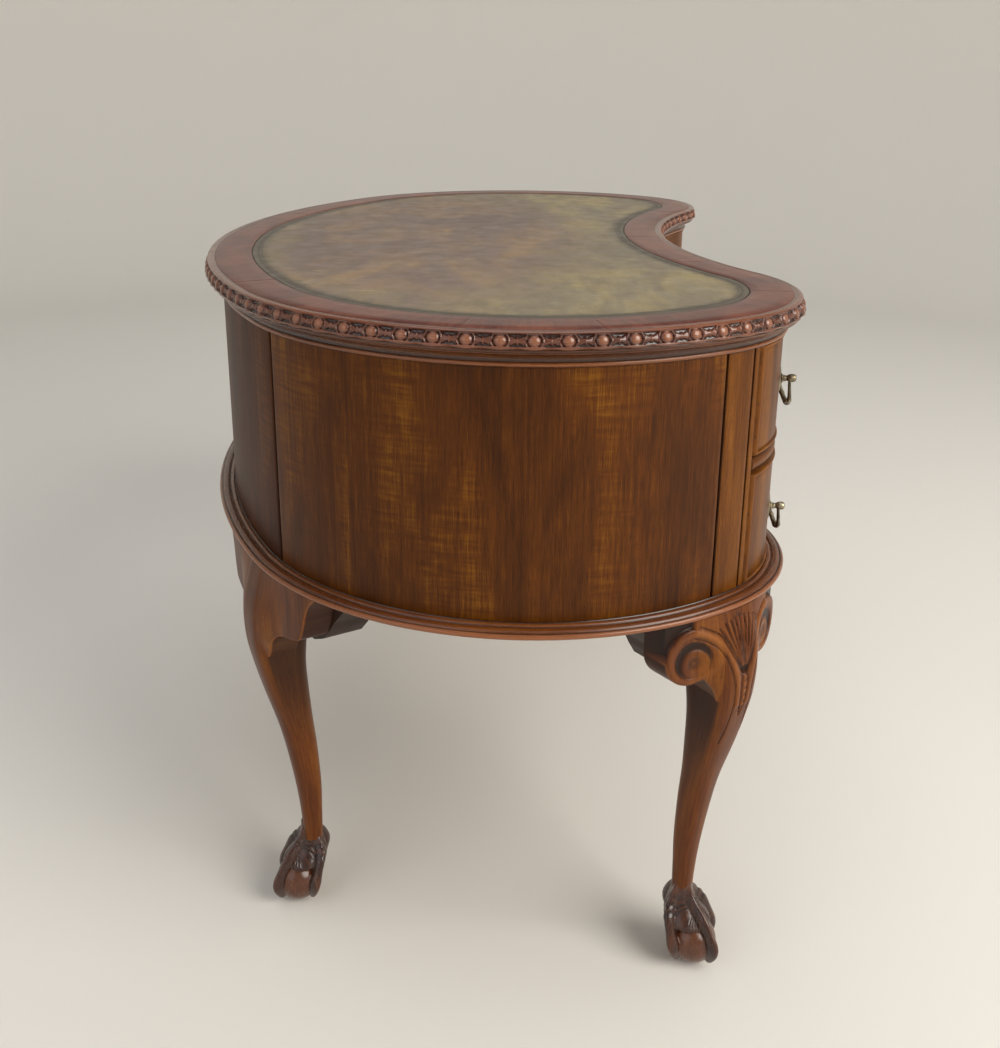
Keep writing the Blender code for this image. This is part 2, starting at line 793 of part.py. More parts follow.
def make_handles():
    places = []
    side_middle = (opening_inner_x + opening_outer_x) / 2
    centre_place = kneehole_half_width * centre_handle_share
    for side, sign in (("right", 1), ("left", -1)):
        places.append(("upper_" + side, "upper", sign * side_middle, "upper_" + side))
        places.append(("lower_" + side, "lower", sign * side_middle, "lower_" + side))
        places.append(("centre_" + side, "upper", sign * centre_place, "centre"))
    for name, row, x, drawer in places:
        slide = desk.objects["drawer_" + drawer + "_slide"]
        hang(keep(make_plate(x, handle_height(row)), "handle_plate_" + name, "brass"), slide)
        hang(make_bail("bail_" + name, x, handle_height(row)), slide)


# Legs
def squared(value, squareness):
    # a sine or cosine drawn out towards the corners of a square
    return abs(value) ** (2 / squareness) * (1 if value > 0 else -1)


def make_leg_mesh():
    # local frame: origin under the base moulding's edge, +X outward
    work = bmesh.new()
    top = leg_height - fit
    rings = []
    for height, middle, depth, width in leg_share_rows:
        squareness = ankle_squareness + knee_squareness * max(0, height - knee_height_share)
        ring = []
        for step in range(leg_sides):
            angle = 2 * pi * (step + 1 / 2) / leg_sides
            x = squared(cos(angle), squareness) * depth * knee_depth / 2 - middle * ankle_setback
            y = squared(sin(angle), squareness) * width * knee_width / 2
            ring.append(work.verts.new((x, y, top * height)))
        rings.append(ring)
    for low, high in zip(rings, rings[1:]):
        for step in range(leg_sides):
            following = (step + 1) % leg_sides
            work.faces.new((low[step], low[following], high[following], high[step]))
    work.faces.new(rings[0][::-1])
    work.faces.new(rings[-1])
    mesh = bpy.data.meshes.new("leg")
    work.to_mesh(mesh)
    work.free()
    leg = bpy.data.objects.new("leg", mesh)
    cutters.objects.link(leg)
    boolean(leg, make_ball(), "UNION")
    for angle in (0, pi / 2, pi, -pi / 2):
        boolean(leg, make_claw(angle), "UNION")
    floor = flat_solid(box_points(-leg_height, leg_height, -leg_height, leg_height), -leg_height, 0)
    boolean(leg, floor, "DIFFERENCE")
    return leg


def make_ball():
    work = bmesh.new()
    bmesh.ops.create_uvsphere(work, u_segments=12, v_segments=8, radius=ball_radius)
    mesh = bpy.data.meshes.new("ball")
    work.to_mesh(mesh)
    work.free()
    mesh.transform(Matrix.Translation((-foot_setback, 0, ball_radius - foot_flat_depth)))
    item = bpy.data.objects.new("ball", mesh)
    cutters.objects.link(item)
    return item


def make_claw(angle):
    # one toe, from the ankle over its knuckle and down the ball
    curve = bpy.data.curves.new("claw", "CURVE")
    curve.dimensions = "3D"
    curve.bevel_depth = claw_radius
    curve.bevel_resolution = 1
    curve.use_fill_caps = True
    spline = curve.splines.new("POLY")
    spline.points.add(len(toe_share_rows) - 1)
    for spot, (out, height, thick) in zip(spline.points, toe_share_rows):
        lean = (ankle_setback - foot_setback) * max(0, height - 1) / 2
        x = -foot_setback - lean + cos(angle) * out * ball_radius
        y = sin(angle) * out * ball_radius
        spot.co = (x, y, height * ball_radius, 1)
        spot.radius = thick
    item = bpy.data.objects.new("claw", curve)
    cutters.objects.link(item)
    bpy.context.view_layer.update()
    return solid_from_curve(item)


front_leg_station = groove_front + pilaster_width * front_leg_share
rear_leg_station = groove_back - rear_leg_setback
# each leg's station, its side of the desk, and how far it is tucked in under the base moulding
leg_places = {
    "front_right": (front_leg_station, 1, 0),
    "front_left": (front_leg_station, -1, 0),
    "rear_right": (rear_leg_station, 1, rear_leg_tuck),
    "rear_left": (rear_leg_station, -1, rear_leg_tuck),
}


def leg_frame(station, sign, tuck):
    foot = outline_point(station, base_reach - tuck)
    outward = outline_normal(station)
    return Vector((foot.x * sign, foot.y)), Vector((outward.x * sign, outward.y))


def make_legs():
    pattern = make_leg_mesh()
    for name, place_of_leg in leg_places.items():
        foot, outward = leg_frame(*place_of_leg)
        leg = bpy.data.objects.new("leg_" + name, pattern.data.copy())
        leg.location = (foot.x, foot.y, 0)
        leg.rotation_euler.z = atan2(outward.y, outward.x)
        desk.objects.link(leg)
        keep(leg, "leg_" + name, "walnut")
    bpy.data.objects.remove(pattern, do_unlink=True)


def ear_outline(length, drop, carved):
    # side view of an ear as (sideways from the leg, height), its outer end scrolled where carved
    start = knee_width / 2 + fit
    end = start + length
    top = leg_height - fit
    low = leg_height - drop
    if carved:
        middle = Vector((end - volute_radius, low + volute_radius))
        scroll = [middle + volute_radius * direction(turn) for turn in volute_turns]
        inner_corner = Vector((start, low + volute_radius * ear_rise_share))
        return [Vector((start, top)), inner_corner] + scroll + [Vector((end, top))]
    end_line = [Vector((start + across * length, low + up * (top - low)))
                for across, up in ogee_shares]
    return [Vector((start, top))] + end_line


def block_outline(length):
    # side view of the block behind a leg and its two ears
    end = knee_width / 2 + fit + length + block_overhang
    top = leg_height - fit
    low = leg_height - corner_block_drop
    half = [Vector((across * end, low + up * (top - low))) for across, up in block_shares]
    return half + mirrored(half)[::-1]


def beside_leg(leg, shape, outer, inner):
    # a piece that follows the plan beside a leg, cut to a side view across it
    station, sign, tuck = leg
    reach = 2 * (rear_ear_length + knee_width)
    marks = stations(station - reach, station + reach)
    outside = [outline_point(mark, outer) for mark in marks]
    inside = [outline_point(mark, inner) for mark in marks]
    plan = outside + inside[::-1]
    plan = plan if sign > 0 else mirrored(plan)
    body = flat_solid(plan, leg_height - 2 * front_ear_drop, leg_height - fit)
    foot, outward = leg_frame(*leg)
    tool = upright_solid(shape, Vector((foot.x, foot.y, 0)), outward, -reach, reach)
    return boolean(body, tool, "INTERSECT")


def make_brackets():
    # each leg's two ears and the block behind them, glued up as one and notched for the leg
    ear_outer = base_reach - ear_setback
    ear_inner = ear_outer - ear_thickness
    block_inner = base_reach - bracket_depth
    leg_back = max(middle * ankle_setback + depth * knee_depth / 2
                   for height, middle, depth, width in leg_share_rows)
    for name, leg in leg_places.items():
        carved = name.startswith("front")
        length = front_ear_length if carved else rear_ear_length
        ear = ear_outline(length, front_ear_drop if carved else rear_ear_drop, carved)
        bracket = beside_leg(leg, block_outline(length), ear_inner + fit, block_inner)
        for shape in (ear, mirrored(ear)):
            boolean(bracket, beside_leg(leg, shape, ear_outer, ear_inner), "UNION")
        foot, outward = leg_frame(*leg)
        half = knee_width / 2 + fit
        notch = box_points(-half, half, 0, leg_height + cut_overrun)
        origin = Vector((foot.x, foot.y, 0))
        cut = upright_solid(notch, origin, outward, -leg_back - fit, cut_overrun)
        keep(boolean(bracket, cut, "DIFFERENCE"), "leg_bracket_" + name, "walnut")


make_top()
make_walls()
make_base()
make_rails()
make_drawers()
make_handles()
make_legs()
make_brackets()

for leftover in list(cutters.objects):
    bpy.data.objects.remove(leftover, do_unlink=True)
pieces = [item for item in desk.objects if item.type == "MESH"]
for piece in pieces:
    piece.data.shade_smooth()
    piece.data.set_sharp_from_angle(angle=radians(35))
bpy.context.view_layer.update()
print("kidney desk:", len(pieces), "pieces")
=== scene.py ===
# Kidney-shaped writing desk: the finish of every surface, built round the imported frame.
# Metres, +Z up. The drawers open towards -Y.
# Stations are lengths along the walls' outer line, from the middle of the back round the right end.
from math import atan2, cos, pi, radians, sin

import bmesh
import bpy
import numpy as np
from mathutils import Matrix, Vector


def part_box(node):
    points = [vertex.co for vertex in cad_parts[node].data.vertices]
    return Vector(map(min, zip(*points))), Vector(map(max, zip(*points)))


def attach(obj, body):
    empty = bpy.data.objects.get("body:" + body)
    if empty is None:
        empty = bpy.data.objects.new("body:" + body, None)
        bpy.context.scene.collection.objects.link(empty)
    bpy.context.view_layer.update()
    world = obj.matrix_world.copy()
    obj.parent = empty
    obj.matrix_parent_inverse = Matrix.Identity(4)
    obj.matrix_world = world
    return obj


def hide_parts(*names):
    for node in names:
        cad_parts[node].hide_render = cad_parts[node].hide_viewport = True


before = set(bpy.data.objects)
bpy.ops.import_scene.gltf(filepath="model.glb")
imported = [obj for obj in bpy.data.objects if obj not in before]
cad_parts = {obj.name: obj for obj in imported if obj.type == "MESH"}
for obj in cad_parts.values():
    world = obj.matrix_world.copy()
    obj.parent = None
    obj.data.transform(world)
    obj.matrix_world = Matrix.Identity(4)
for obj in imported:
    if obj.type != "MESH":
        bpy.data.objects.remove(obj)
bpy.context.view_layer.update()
print("frame loaded:", len(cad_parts), "nodes")

mm = 0.001


# Nodes, colours and meshes
def srgb(hexColour):
    values = [int(hexColour[at:at + 2], 16) / 255 for at in (1, 3, 5)]
    return [v / 12.92 if v <= 0.04045 else ((v + 0.055) / 1.055) ** 2.4 for v in values] + [1.0]


def setInputs(tree, node, inputs):
    # each input gets its link or its plain value
    for name, value in inputs.items():
        if isinstance(value, bpy.types.NodeSocket):
            tree.links.new(value, node.inputs[name])
        else:
            node.inputs[name].default_value = value


def addNode(tree, kind, inputs=None, stops=None, **settings):
    # one shader node with its settings, its ramp's stops, and its values or links
    node = tree.nodes.new("ShaderNode" + kind)
    for name, value in settings.items():
        setattr(node, name, value)
    if stops:
        elements = node.color_ramp.elements
        elements[0].position, elements[-1].position = stops[0][0], stops[-1][0]
        for position, colour in stops[1:-1]:
            elements.new(position)
        for element, (position, colour) in zip(elements, stops):
            element.color = srgb(colour)
    setInputs(tree, node, inputs or {})
    return node


def newMaterial(name):
    material = bpy.data.materials.new(name)
    material.use_nodes = True
    tree = material.node_tree
    return material, tree, tree.nodes["Principled BSDF"]


def shortForms(tree):
    # arithmetic, a mapped range, a mixed colour and stretched noise in one tree
    def math(operation, *values):
        return addNode(tree, "Math", dict(enumerate(values)), operation=operation).outputs[0]

    def span(value, low, high, top=1.0, bottom=0.0):
        return addNode(tree, "MapRange", {"Value": value, "From Min": low, "From Max": high,
                                          "To Min": bottom, "To Max": top}).outputs[0]

    def mix(share, first, second):
        return addNode(tree, "Mix", {0: share, 6: first, 7: second}, data_type="RGBA").outputs[2]

    def noise(where, scale, detail, rough, distortion, turn=0.0):
        place = addNode(tree, "Mapping", {"Vector": where, "Scale": scale,
                                          "Rotation": (0, 0, turn)}).outputs[0]
        return addNode(tree, "TexNoise", {"Vector": place, "Scale": 1.0, "Detail": detail,
                                          "Roughness": rough,
                                          "Distortion": distortion}).outputs["Fac"]

    return math, span, mix, noise


def runAlong(line):
    # the distance walked to each point of a line
    return np.concatenate([[0], np.cumsum(np.linalg.norm(np.diff(line, axis=0), axis=1))])


def lifted(flat, heights):
    # places in the plan, each at its height
    return np.concatenate([flat, np.broadcast_to(heights, flat.shape[:-1])[..., None]], axis=-1)


def grainAt(across, along, seed=0.0):
    # grain coordinates: across the fibres, along them, and which board they are in
    across, along = np.broadcast_arrays(across, along)
    return np.stack([across, along, np.full(along.shape, seed)], axis=-1)


def foldedBack(front):
    # rows over a front, back again behind it, and their first place once more
    return np.concatenate([front, front[:, ::-1], front[:, :1]], axis=1)


def gridPart(points, grain, relief=None, closedAlong=False, closedAcross=True):
    # quads over points[along, across], capped where the grid is open along
    # grain has one more row or column where the grid closes
    along, across = points.shape[:2]
    rows = along if closedAlong else along - 1
    columns = across if closedAcross else across - 1
    i, j = (part.ravel() for part in np.meshgrid(range(rows), range(columns), indexing="ij"))
    corners = [(i, j), (i + 1, j), (i + 1, j + 1), (i, j + 1)]
    faces = np.stack([(a % along) * across + b % across for a, b in corners], axis=1)
    wide = grain.shape[1]
    cornerGrain = np.stack([a * wide + b for a, b in corners], axis=1)
    faceList = faces.tolist()
    flatGrain = grain.reshape(-1, 3)
    loops = flatGrain[cornerGrain.ravel()]
    if not closedAlong:
        for row, step in ((0, 1), (along - 1, -1)):
            cap = (row * across + np.arange(across))[::step]
            faceList.append(cap.tolist())
            loops = np.vstack([loops, grain[row, np.arange(across)[::step]]])
    if relief is None:
        relief = np.full((along, across), 0.5)
    return {"points": points.reshape(-1, 3), "faces": faceList, "grain": loops,
            "relief": relief.ravel()}


def buildPiece(name, parts, material, node, body="desk", sharp=50):
    # one object from grid parts, riding on its body and standing for its node
    points = np.vstack([part["points"] for part in parts])
    faces, base = [], 0
    for part in parts:
        faces += [[base + corner for corner in face] for face in part["faces"]]
        base += len(part["points"])
    mesh = bpy.data.meshes.new(name)
    mesh.from_pydata(points.tolist(), [], faces)
    grain = mesh.attributes.new("grain", "FLOAT_VECTOR", "CORNER")
    grain.data.foreach_set("vector", np.vstack([part["grain"] for part in parts]).ravel())
    relief = mesh.attributes.new("relief", "FLOAT", "POINT")
    relief.data.foreach_set("value", np.concatenate([part["relief"] for part in parts]))
    work = bmesh.new()
    work.from_mesh(mesh)
    bmesh.ops.recalc_face_normals(work, faces=work.faces)
    work.to_mesh(mesh)
    work.free()
    mesh.shade_smooth()
    mesh.set_sharp_from_angle(angle=radians(sharp))
    placePiece(bpy.data.objects.new(name, mesh), material, body, node)


def placePiece(item, material, body, node):
    bpy.context.scene.collection.objects.link(item)
    item.data.materials.append(material)
    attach(item, body)
    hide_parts(node)


def curveThrough(points, steps):
    # a smooth line through a few points, with steps spans between each two
    points = np.array(points, float)
    padded = np.vstack([2 * points[0] - points[1], points, 2 * points[-1] - points[-2]])
    line = []
    for a, b, c, d in zip(padded, padded[1:], padded[2:], padded[3:]):
        for t in np.arange(steps) / steps:
            line.append(((2 * b) + (c - a) * t + (2 * a - 5 * b + 4 * c - d) * t * t
                         + (3 * b - a - 3 * c + d) * t ** 3) / 2)
    return np.array(line + [points[-1]])


def smoothStep(low, high, value):
    t = np.clip((value - low) / (high - low), 0, 1)
    return t * t * (3 - 2 * t)


# Plan: tangent arcs of the right half at the leather's edge, from the back round to the waist
plan = {"backRadius": 0.812, "endRadius": 0.299, "lobeRadius": 0.140, "waistDepth": 0.515,
        "backHalfAngle": radians(31.3), "endAngle": radians(97.3), "faceReach": 0.038,
        "frontRun": 0.62}


def layOutArcs(p):
    endStart = pi / 2 - p["backHalfAngle"]
    lobeStart = endStart - p["endAngle"]

    def aim(angle):
        return np.array([cos(angle), sin(angle)])

    toEnd = (p["backRadius"] - p["endRadius"]) * aim(endStart)
    toLobe = (p["endRadius"] - p["lobeRadius"]) * aim(lobeStart)
    back = np.array([0, -(p["backRadius"] - p["lobeRadius"] + toEnd[1] + toLobe[1]) / 2])
    end = back + toEnd
    lobe = end + toLobe
    waistY = back[1] + p["backRadius"] - p["waistDepth"]
    rise = lobe[1] - waistY
    waistRadius = (lobe[0] ** 2 + rise ** 2 - p["lobeRadius"] ** 2) / (2 * (p["lobeRadius"] - rise))
    waist = np.array([0, waistY - waistRadius])
    waistStart = atan2(lobe[1] - waist[1], lobe[0] - waist[0])
    return [(back, p["backRadius"], 1, pi / 2, p["backHalfAngle"]),
            (end, p["endRadius"], 1, endStart, p["endAngle"]),
            (lobe, p["lobeRadius"], 1, lobeStart, lobeStart - (waistStart - pi)),
            (waist, waistRadius, -1, waistStart, pi / 2 - waistStart)]


arcs = layOutArcs(plan)
arcLengths = [(radius + side * plan["faceReach"]) * sweep for c, radius, side, start, sweep in arcs]
halfRound = sum(arcLengths)
lobeCentre, lobeRadius = arcs[2][0], plan["lobeRadius"]
waistCentre, waistRadius = arcs[3][0], arcs[3][1]


def onPlan(marks):
    # points and outward normals of the leather's edge at stations, all round the desk
    marks = np.mod(np.asarray(marks, float), 2 * halfRound)
    mirror = np.where(marks > halfRound, -1.0, 1.0)
    left = np.where(marks > halfRound, 2 * halfRound - marks, marks)
    points, normals = np.zeros(left.shape + (2,)), np.zeros(left.shape + (2,))
    begin = 0
    for (centre, radius, side, start, sweep), length in zip(arcs, arcLengths):
        here = left >= begin - 1e-12
        angle = start - side * (left[here] - begin) / (radius + side * plan["faceReach"])
        spoke = np.stack([np.cos(angle), np.sin(angle)], axis=-1)
        points[here] = centre + radius * spoke
        normals[here] = side * spoke
        begin += length
    points[..., 0] *= mirror
    normals[..., 0] *= mirror
    return points, normals


def swept(marks, reach, height):
    # points at stations, each with its own reach from the leather's edge and its height
    points, normals = onPlan(marks)
    reach, height = np.broadcast_arrays(reach, height)
    return lifted(points[:, None, :] + normals[:, None, :] * reach[..., None], height)


def frontY(x, reach):
    # the front of the plan over x, at a reach
    x = np.abs(x)
    turn = lobeCentre[0] + (lobeRadius + reach) * cos(arcs[2][3] - arcs[2][4])
    inner = waistCentre[1] + np.sqrt(np.maximum((waistRadius - reach) ** 2 - x ** 2, 0))
    away = x - lobeCentre[0]
    outer = lobeCentre[1] - np.sqrt(np.maximum((lobeRadius + reach) ** 2 - away ** 2, 0))
    return np.where(x < turn, inner, outer)


def frontStation(x, reach):
    # the station on the front where the line at this reach crosses x
    marks = np.linspace(halfRound - plan["frontRun"], halfRound, 4000)
    points, normals = onPlan(marks)
    across = (points + normals * reach)[:, 0]
    return float(np.interp(-abs(x), -across, marks))


def evenStations(count, reach, first=0.0, step=1):
    # stations evenly apart along the line at this reach, all the way round, one at the first
    marks = np.linspace(0, 2 * halfRound, 20001)
    points, normals = onPlan(marks)
    run = runAlong(points + normals * reach)
    shift = np.interp(first, marks, run) % (run[-1] / count * step)
    return np.interp((np.arange(count) / count * run[-1] + shift) % run[-1], run, marks), run[-1]


def sweepPart(marks, profile, closed, seed=0.0, acrossGrain=False, relief=0.5):
    # a closed profile of (reach, height) carried along stations, with the grain along or across it
    profile = np.array(profile, float)
    points = swept(marks, np.tile(profile[:, 0], (len(marks), 1)), profile[:, 1])
    around = runAlong(np.vstack([profile, profile[:1]]))
    run = (np.append(marks, 2 * halfRound) if closed else np.asarray(marks))[:, None]
    grain = grainAt(run, around, seed) if acrossGrain else grainAt(around, run, seed)
    return gridPart(points, grain, np.zeros(points.shape[:2]) + relief, closedAlong=closed)


# Wood
def polishedWood(name, look, along=None):
    # french polish over open-grained wood: dark pores, soft flame and a thin clear gloss
    material, tree, shader = newMaterial(name)
    math, span, mix, noise = shortForms(tree)
    if along is None:
        source = addNode(tree, "Attribute", attribute_name="grain").outputs["Vector"]
        axis = 1
    else:
        source = addNode(tree, "TexCoord").outputs["Object"]
        axis = "XYZ".index(along)

    def figure(width, length, detail, rough=0.5, distortion=0.0):
        # noise drawn out along the grain; sizes of one figure in millimetres
        scale = [1 / (width * mm)] * 3
        scale[axis] = 1 / (length * mm)
        return noise(source, scale, detail, rough, distortion)

    cloud = figure(*look["cloud"], 3.0, distortion=0.6)
    stripe = figure(*look["stripe"], 4.0, distortion=0.4)
    ripple = figure(*look["ripple"], 2.0)
    fibre = figure(*look["fibre"], 3.0, 0.65)
    pore = figure(*look["pores"], 1.0, 0.6)
    # the ripple shows only in the bright clouds
    ripple = math("MULTIPLY", math("SUBTRACT", ripple, 0.5), span(cloud, 0.48, 0.66))
    tone = 0.5
    for part, share in ((cloud, "cloudShare"), (stripe, "stripeShare"), (fibre, "fibreShare")):
        tone = math("ADD", tone, math("MULTIPLY", math("SUBTRACT", part, 0.5), look[share]))
    tone = math("ADD", tone, math("MULTIPLY", ripple, look["rippleShare"]))
    ramp = addNode(tree, "ValToRGB", {"Fac": tone}, stops=[
        (0.30, look["dark"]), (0.43, look["shade"]), (0.55, look["mid"]), (0.70, look["light"])])
    pores = span(pore, 0.60, 0.72, look["poreDepth"])
    colour = mix(pores, ramp.outputs[0], srgb(look["pore"]))
    if along is None:
        # handled high places lose their dark wax, and hollows keep it; the dark in hollows and
        # under things is also painted shade, and some of the light on high places is a painted
        # highlight
        relief = addNode(tree, "Attribute", attribute_name="relief").outputs["Fac"]
        colour = mix(span(relief, 0.55, 1.0, look["wearAndPaintedLight"]), colour, srgb(look["worn"]))
        colour = mix(span(relief, 0.45, 0.0, look["waxAndShadeDepth"]), colour, srgb(look["waxAndShade"]))
    rough = span(fibre, 0.3, 0.7, look["roughness"] + 0.09, look["roughness"] - 0.05)
    lumps = math("ADD", math("MULTIPLY", fibre, 0.6), math("MULTIPLY", pores, -0.8))
    bump = addNode(tree, "Bump", {"Height": lumps, "Strength": look["bump"], "Distance": 0.12 * mm})
    setInputs(tree, shader, {
        "Base Color": colour, "Roughness": rough, "Normal": bump.outputs[0],
        "Specular IOR Level": look["specular"], "Coat Weight": look["coat"],
        "Coat Roughness": look["coatRoughness"]})
    return material


# sizes of one figure as (across, along) the grain, in millimetres
walnutLook = {
    "dark": "#301602", "shade": "#432103", "mid": "#592e05", "light": "#784a0b", "pore": "#1e0d02",
    "worn": "#9a5f2e", "wearAndPaintedLight": 0.0, "waxAndShade": "#1a0b06", "waxAndShadeDepth": 0.75, "poreDepth": 0.42,
    "cloud": (44, 190), "stripe": (4, 230), "ripple": (38, 4.5), "fibre": (0.8, 30),
    "pores": (0.6, 11), "cloudShare": 0.50, "stripeShare": 0.28, "rippleShare": 0.35,
    "fibreShare": 0.50, "roughness": 0.36, "bump": 0.3, "specular": 0.14, "coat": 0.03,
    "coatRoughness": 0.2,
}
# end panels: deep warm brown with soft amber flames
walnut = polishedWood("walnut_veneer_french_polished", walnutLook)
# back: a darker copy of the veneer, painted shade for the side turned from the light, with no gloss
# of its own
walnutBackShaded = polishedWood("walnut_veneer_darker_painted_shade", dict(
    walnutLook, dark="#28140a", shade="#3a1e10", mid="#4e2c17", light="#684021", specular=0.06,
    coat=0.0))
# rails: plain straight stripes, rubbed on the round
walnutSolid = polishedWood("walnut_solid_french_polished", dict(
    walnutLook, rippleShare=0.15, cloud=(60, 260), stripe=(9, 300), wearAndPaintedLight=0.3))
# drawer fronts and pilasters: lighter and straight-grained
pilasterWalnut = polishedWood("walnut_straight_grained", dict(
    walnutLook, dark="#3c1e04", shade="#532c06", mid="#6b3d0b", light="#835213", rippleShare=0.1,
    cloud=(26, 300), wearAndPaintedLight=0.3))
# legs: golden brown on the rubbed ridges, nearly black in the carving: wax and painted shade
legWalnut = polishedWood("walnut_carved_solid", dict(
    walnutLook, dark="#3f1b06", shade="#552808", mid="#6e3b0c", light="#8a5416", rippleShare=0.12,
    cloud=(40, 200), stripe=(5, 160), wearAndPaintedLight=0.6, worn="#93592a", waxAndShade="#1b0c07", waxAndShadeDepth=0.94,
    roughness=0.34, specular=0.2, coat=0.05))
# feet: dark and glossy, the balls a little redder
clawWalnut = polishedWood("walnut_claw_dark_waxed", dict(
    walnutLook, dark="#2a130c", shade="#3d1e11", mid="#522a15", light="#67381a", rippleShare=0.0,
    cloud=(30, 90), wearAndPaintedLight=0.7, worn="#70401f", waxAndShade="#160b0b", waxAndShadeDepth=0.9, roughness=0.24,
    specular=0.45, coat=0.3))
# carved edge: glossy reddish beads over dark hollows, the hollows darkened with wax and painted
# shade
carvedWalnut = polishedWood("walnut_carved_wax_and_painted_shade", dict(
    walnutLook, dark="#3e1f15", shade="#522a1a", mid="#673722", light="#7c462b", rippleShare=0.0,
    wearAndPaintedLight=0.75, worn="#8e5a3e", waxAndShade="#1f100f", waxAndShadeDepth=0.85, roughness=0.24, specular=0.5,
    coat=0.35))
# mouldings: painted highlight lines on the reeds and painted shade between them, over wax and wear
mouldingWalnut = polishedWood("walnut_moulding_polished", dict(
    walnutLook, dark="#3c1a09", shade="#52270d", mid="#6c3912", light="#874d1a", rippleShare=0.0,
    cloud=(30, 300), wearAndPaintedLight=0.6, worn="#965b35", waxAndShade="#190b08", waxAndShadeDepth=0.85, roughness=0.26,
    specular=0.4, coat=0.25))
# crossband: quiet reddish wood under a clear gloss
crossbandMahogany = polishedWood("mahogany_crossband_polished", dict(
    walnutLook, dark="#4a221a", shade="#5a2d21", mid="#6a3829", light="#794531", pore="#3a1a13",
    poreDepth=0.3, cloud=(70, 60), stripe=(5, 60), cloudShare=0.8, stripeShare=0.5, rippleShare=0.0,
    fibreShare=0.25, roughness=0.30, specular=0.22, coat=0.12, coatRoughness=0.14))
# the kneehole's boards: the veneer's colours, with the grain up or along
walnutUpright = polishedWood("walnut_board_upright", walnutLook, along="Z")
walnutLevel = polishedWood("walnut_board_level", walnutLook, along="X")
liningLook = dict(
    walnutLook, dark="#7a5630", shade="#93703f", mid="#ab8750", light="#bd9a63", pore="#6e4c29",
    poreDepth=0.4, roughness=0.55, coat=0.0, rippleShare=0.0, bump=0.5)
# drawer linings: pale, dry and open-grained
oakLining = polishedWood("oak_drawer_lining_waxed", liningLook, along="Y")
# hidden carcase: sawn and never polished
pineCarcase = polishedWood("pine_carcase_sawn", dict(
    liningLook, dark="#6e4a26", shade="#84602f", mid="#9c7a45", light="#b08f58", roughness=0.65),
    along="X")
print("woods ready")


# Heights of the layers, read from the frame
def layer(nodeName):
    return [corner.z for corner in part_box(nodeName)]


boardLow = layer("top_board")[0]
bandLow, deskTop = layer("crossband")
baseLow, baseHigh = layer("base_moulding")
wallLow, wallHigh = layer("back_panel")
topLow, topHigh = layer("carcase_top")
leatherLow, leatherTop = layer("leather_inset")
gap = 0.3 * mm

# Leather: hide with blind-tooled lines along its edge, real hollows a fraction of a millimetre deep
leather = {"toolLines": (7.0, 9.0, 12.0), "toolWidth": 0.55 * mm, "toolDepth": 0.22 * mm,
           "edgeDrop": 0.35 * mm, "firstRing": 1.4 * mm, "ring": 0.6 * mm, "borderEnd": 16 * mm,
           "innerRings": (0.022, 0.032), "step": 3.2 * mm}


def makeLeather(s):
    marks = evenStations(int(2 * halfRound / s["step"]), 0)[0]
    rings = np.arange(s["firstRing"], s["borderEnd"], s["ring"])
    rims = np.concatenate([[gap, gap + 0.5 * mm], rings, s["innerRings"]])
    sink = np.zeros(len(rims))
    for line in s["toolLines"]:
        sink += s["toolDepth"] * np.exp(-((rims - line * mm) / s["toolWidth"]) ** 2)
    height = leatherTop - sink
    height[0] -= s["edgeDrop"]
    reach = np.concatenate([[-rims[-1]], -rims[:1], -rims])
    height = np.concatenate([[leatherLow, leatherLow], height])
    points = swept(marks, np.tile(reach, (len(marks), 1)), height)
    # the grain's first value is the distance from the edge, for the border's colours
    grain = grainAt(np.concatenate([[rims[-1], 0], rims]), np.append(marks, 2 * halfRound)[:, None])
    part = gridPart(points, grain, closedAlong=True, closedAcross=False)
    wide = len(reach)
    for row in (0, wide - 1):
        part["faces"].append((np.arange(len(marks)) * wide + row).tolist())
        flat = np.tile([rims[-1] * 2, 0, 0], (len(marks), 1))
        part["grain"] = np.vstack([part["grain"], flat])
    return part


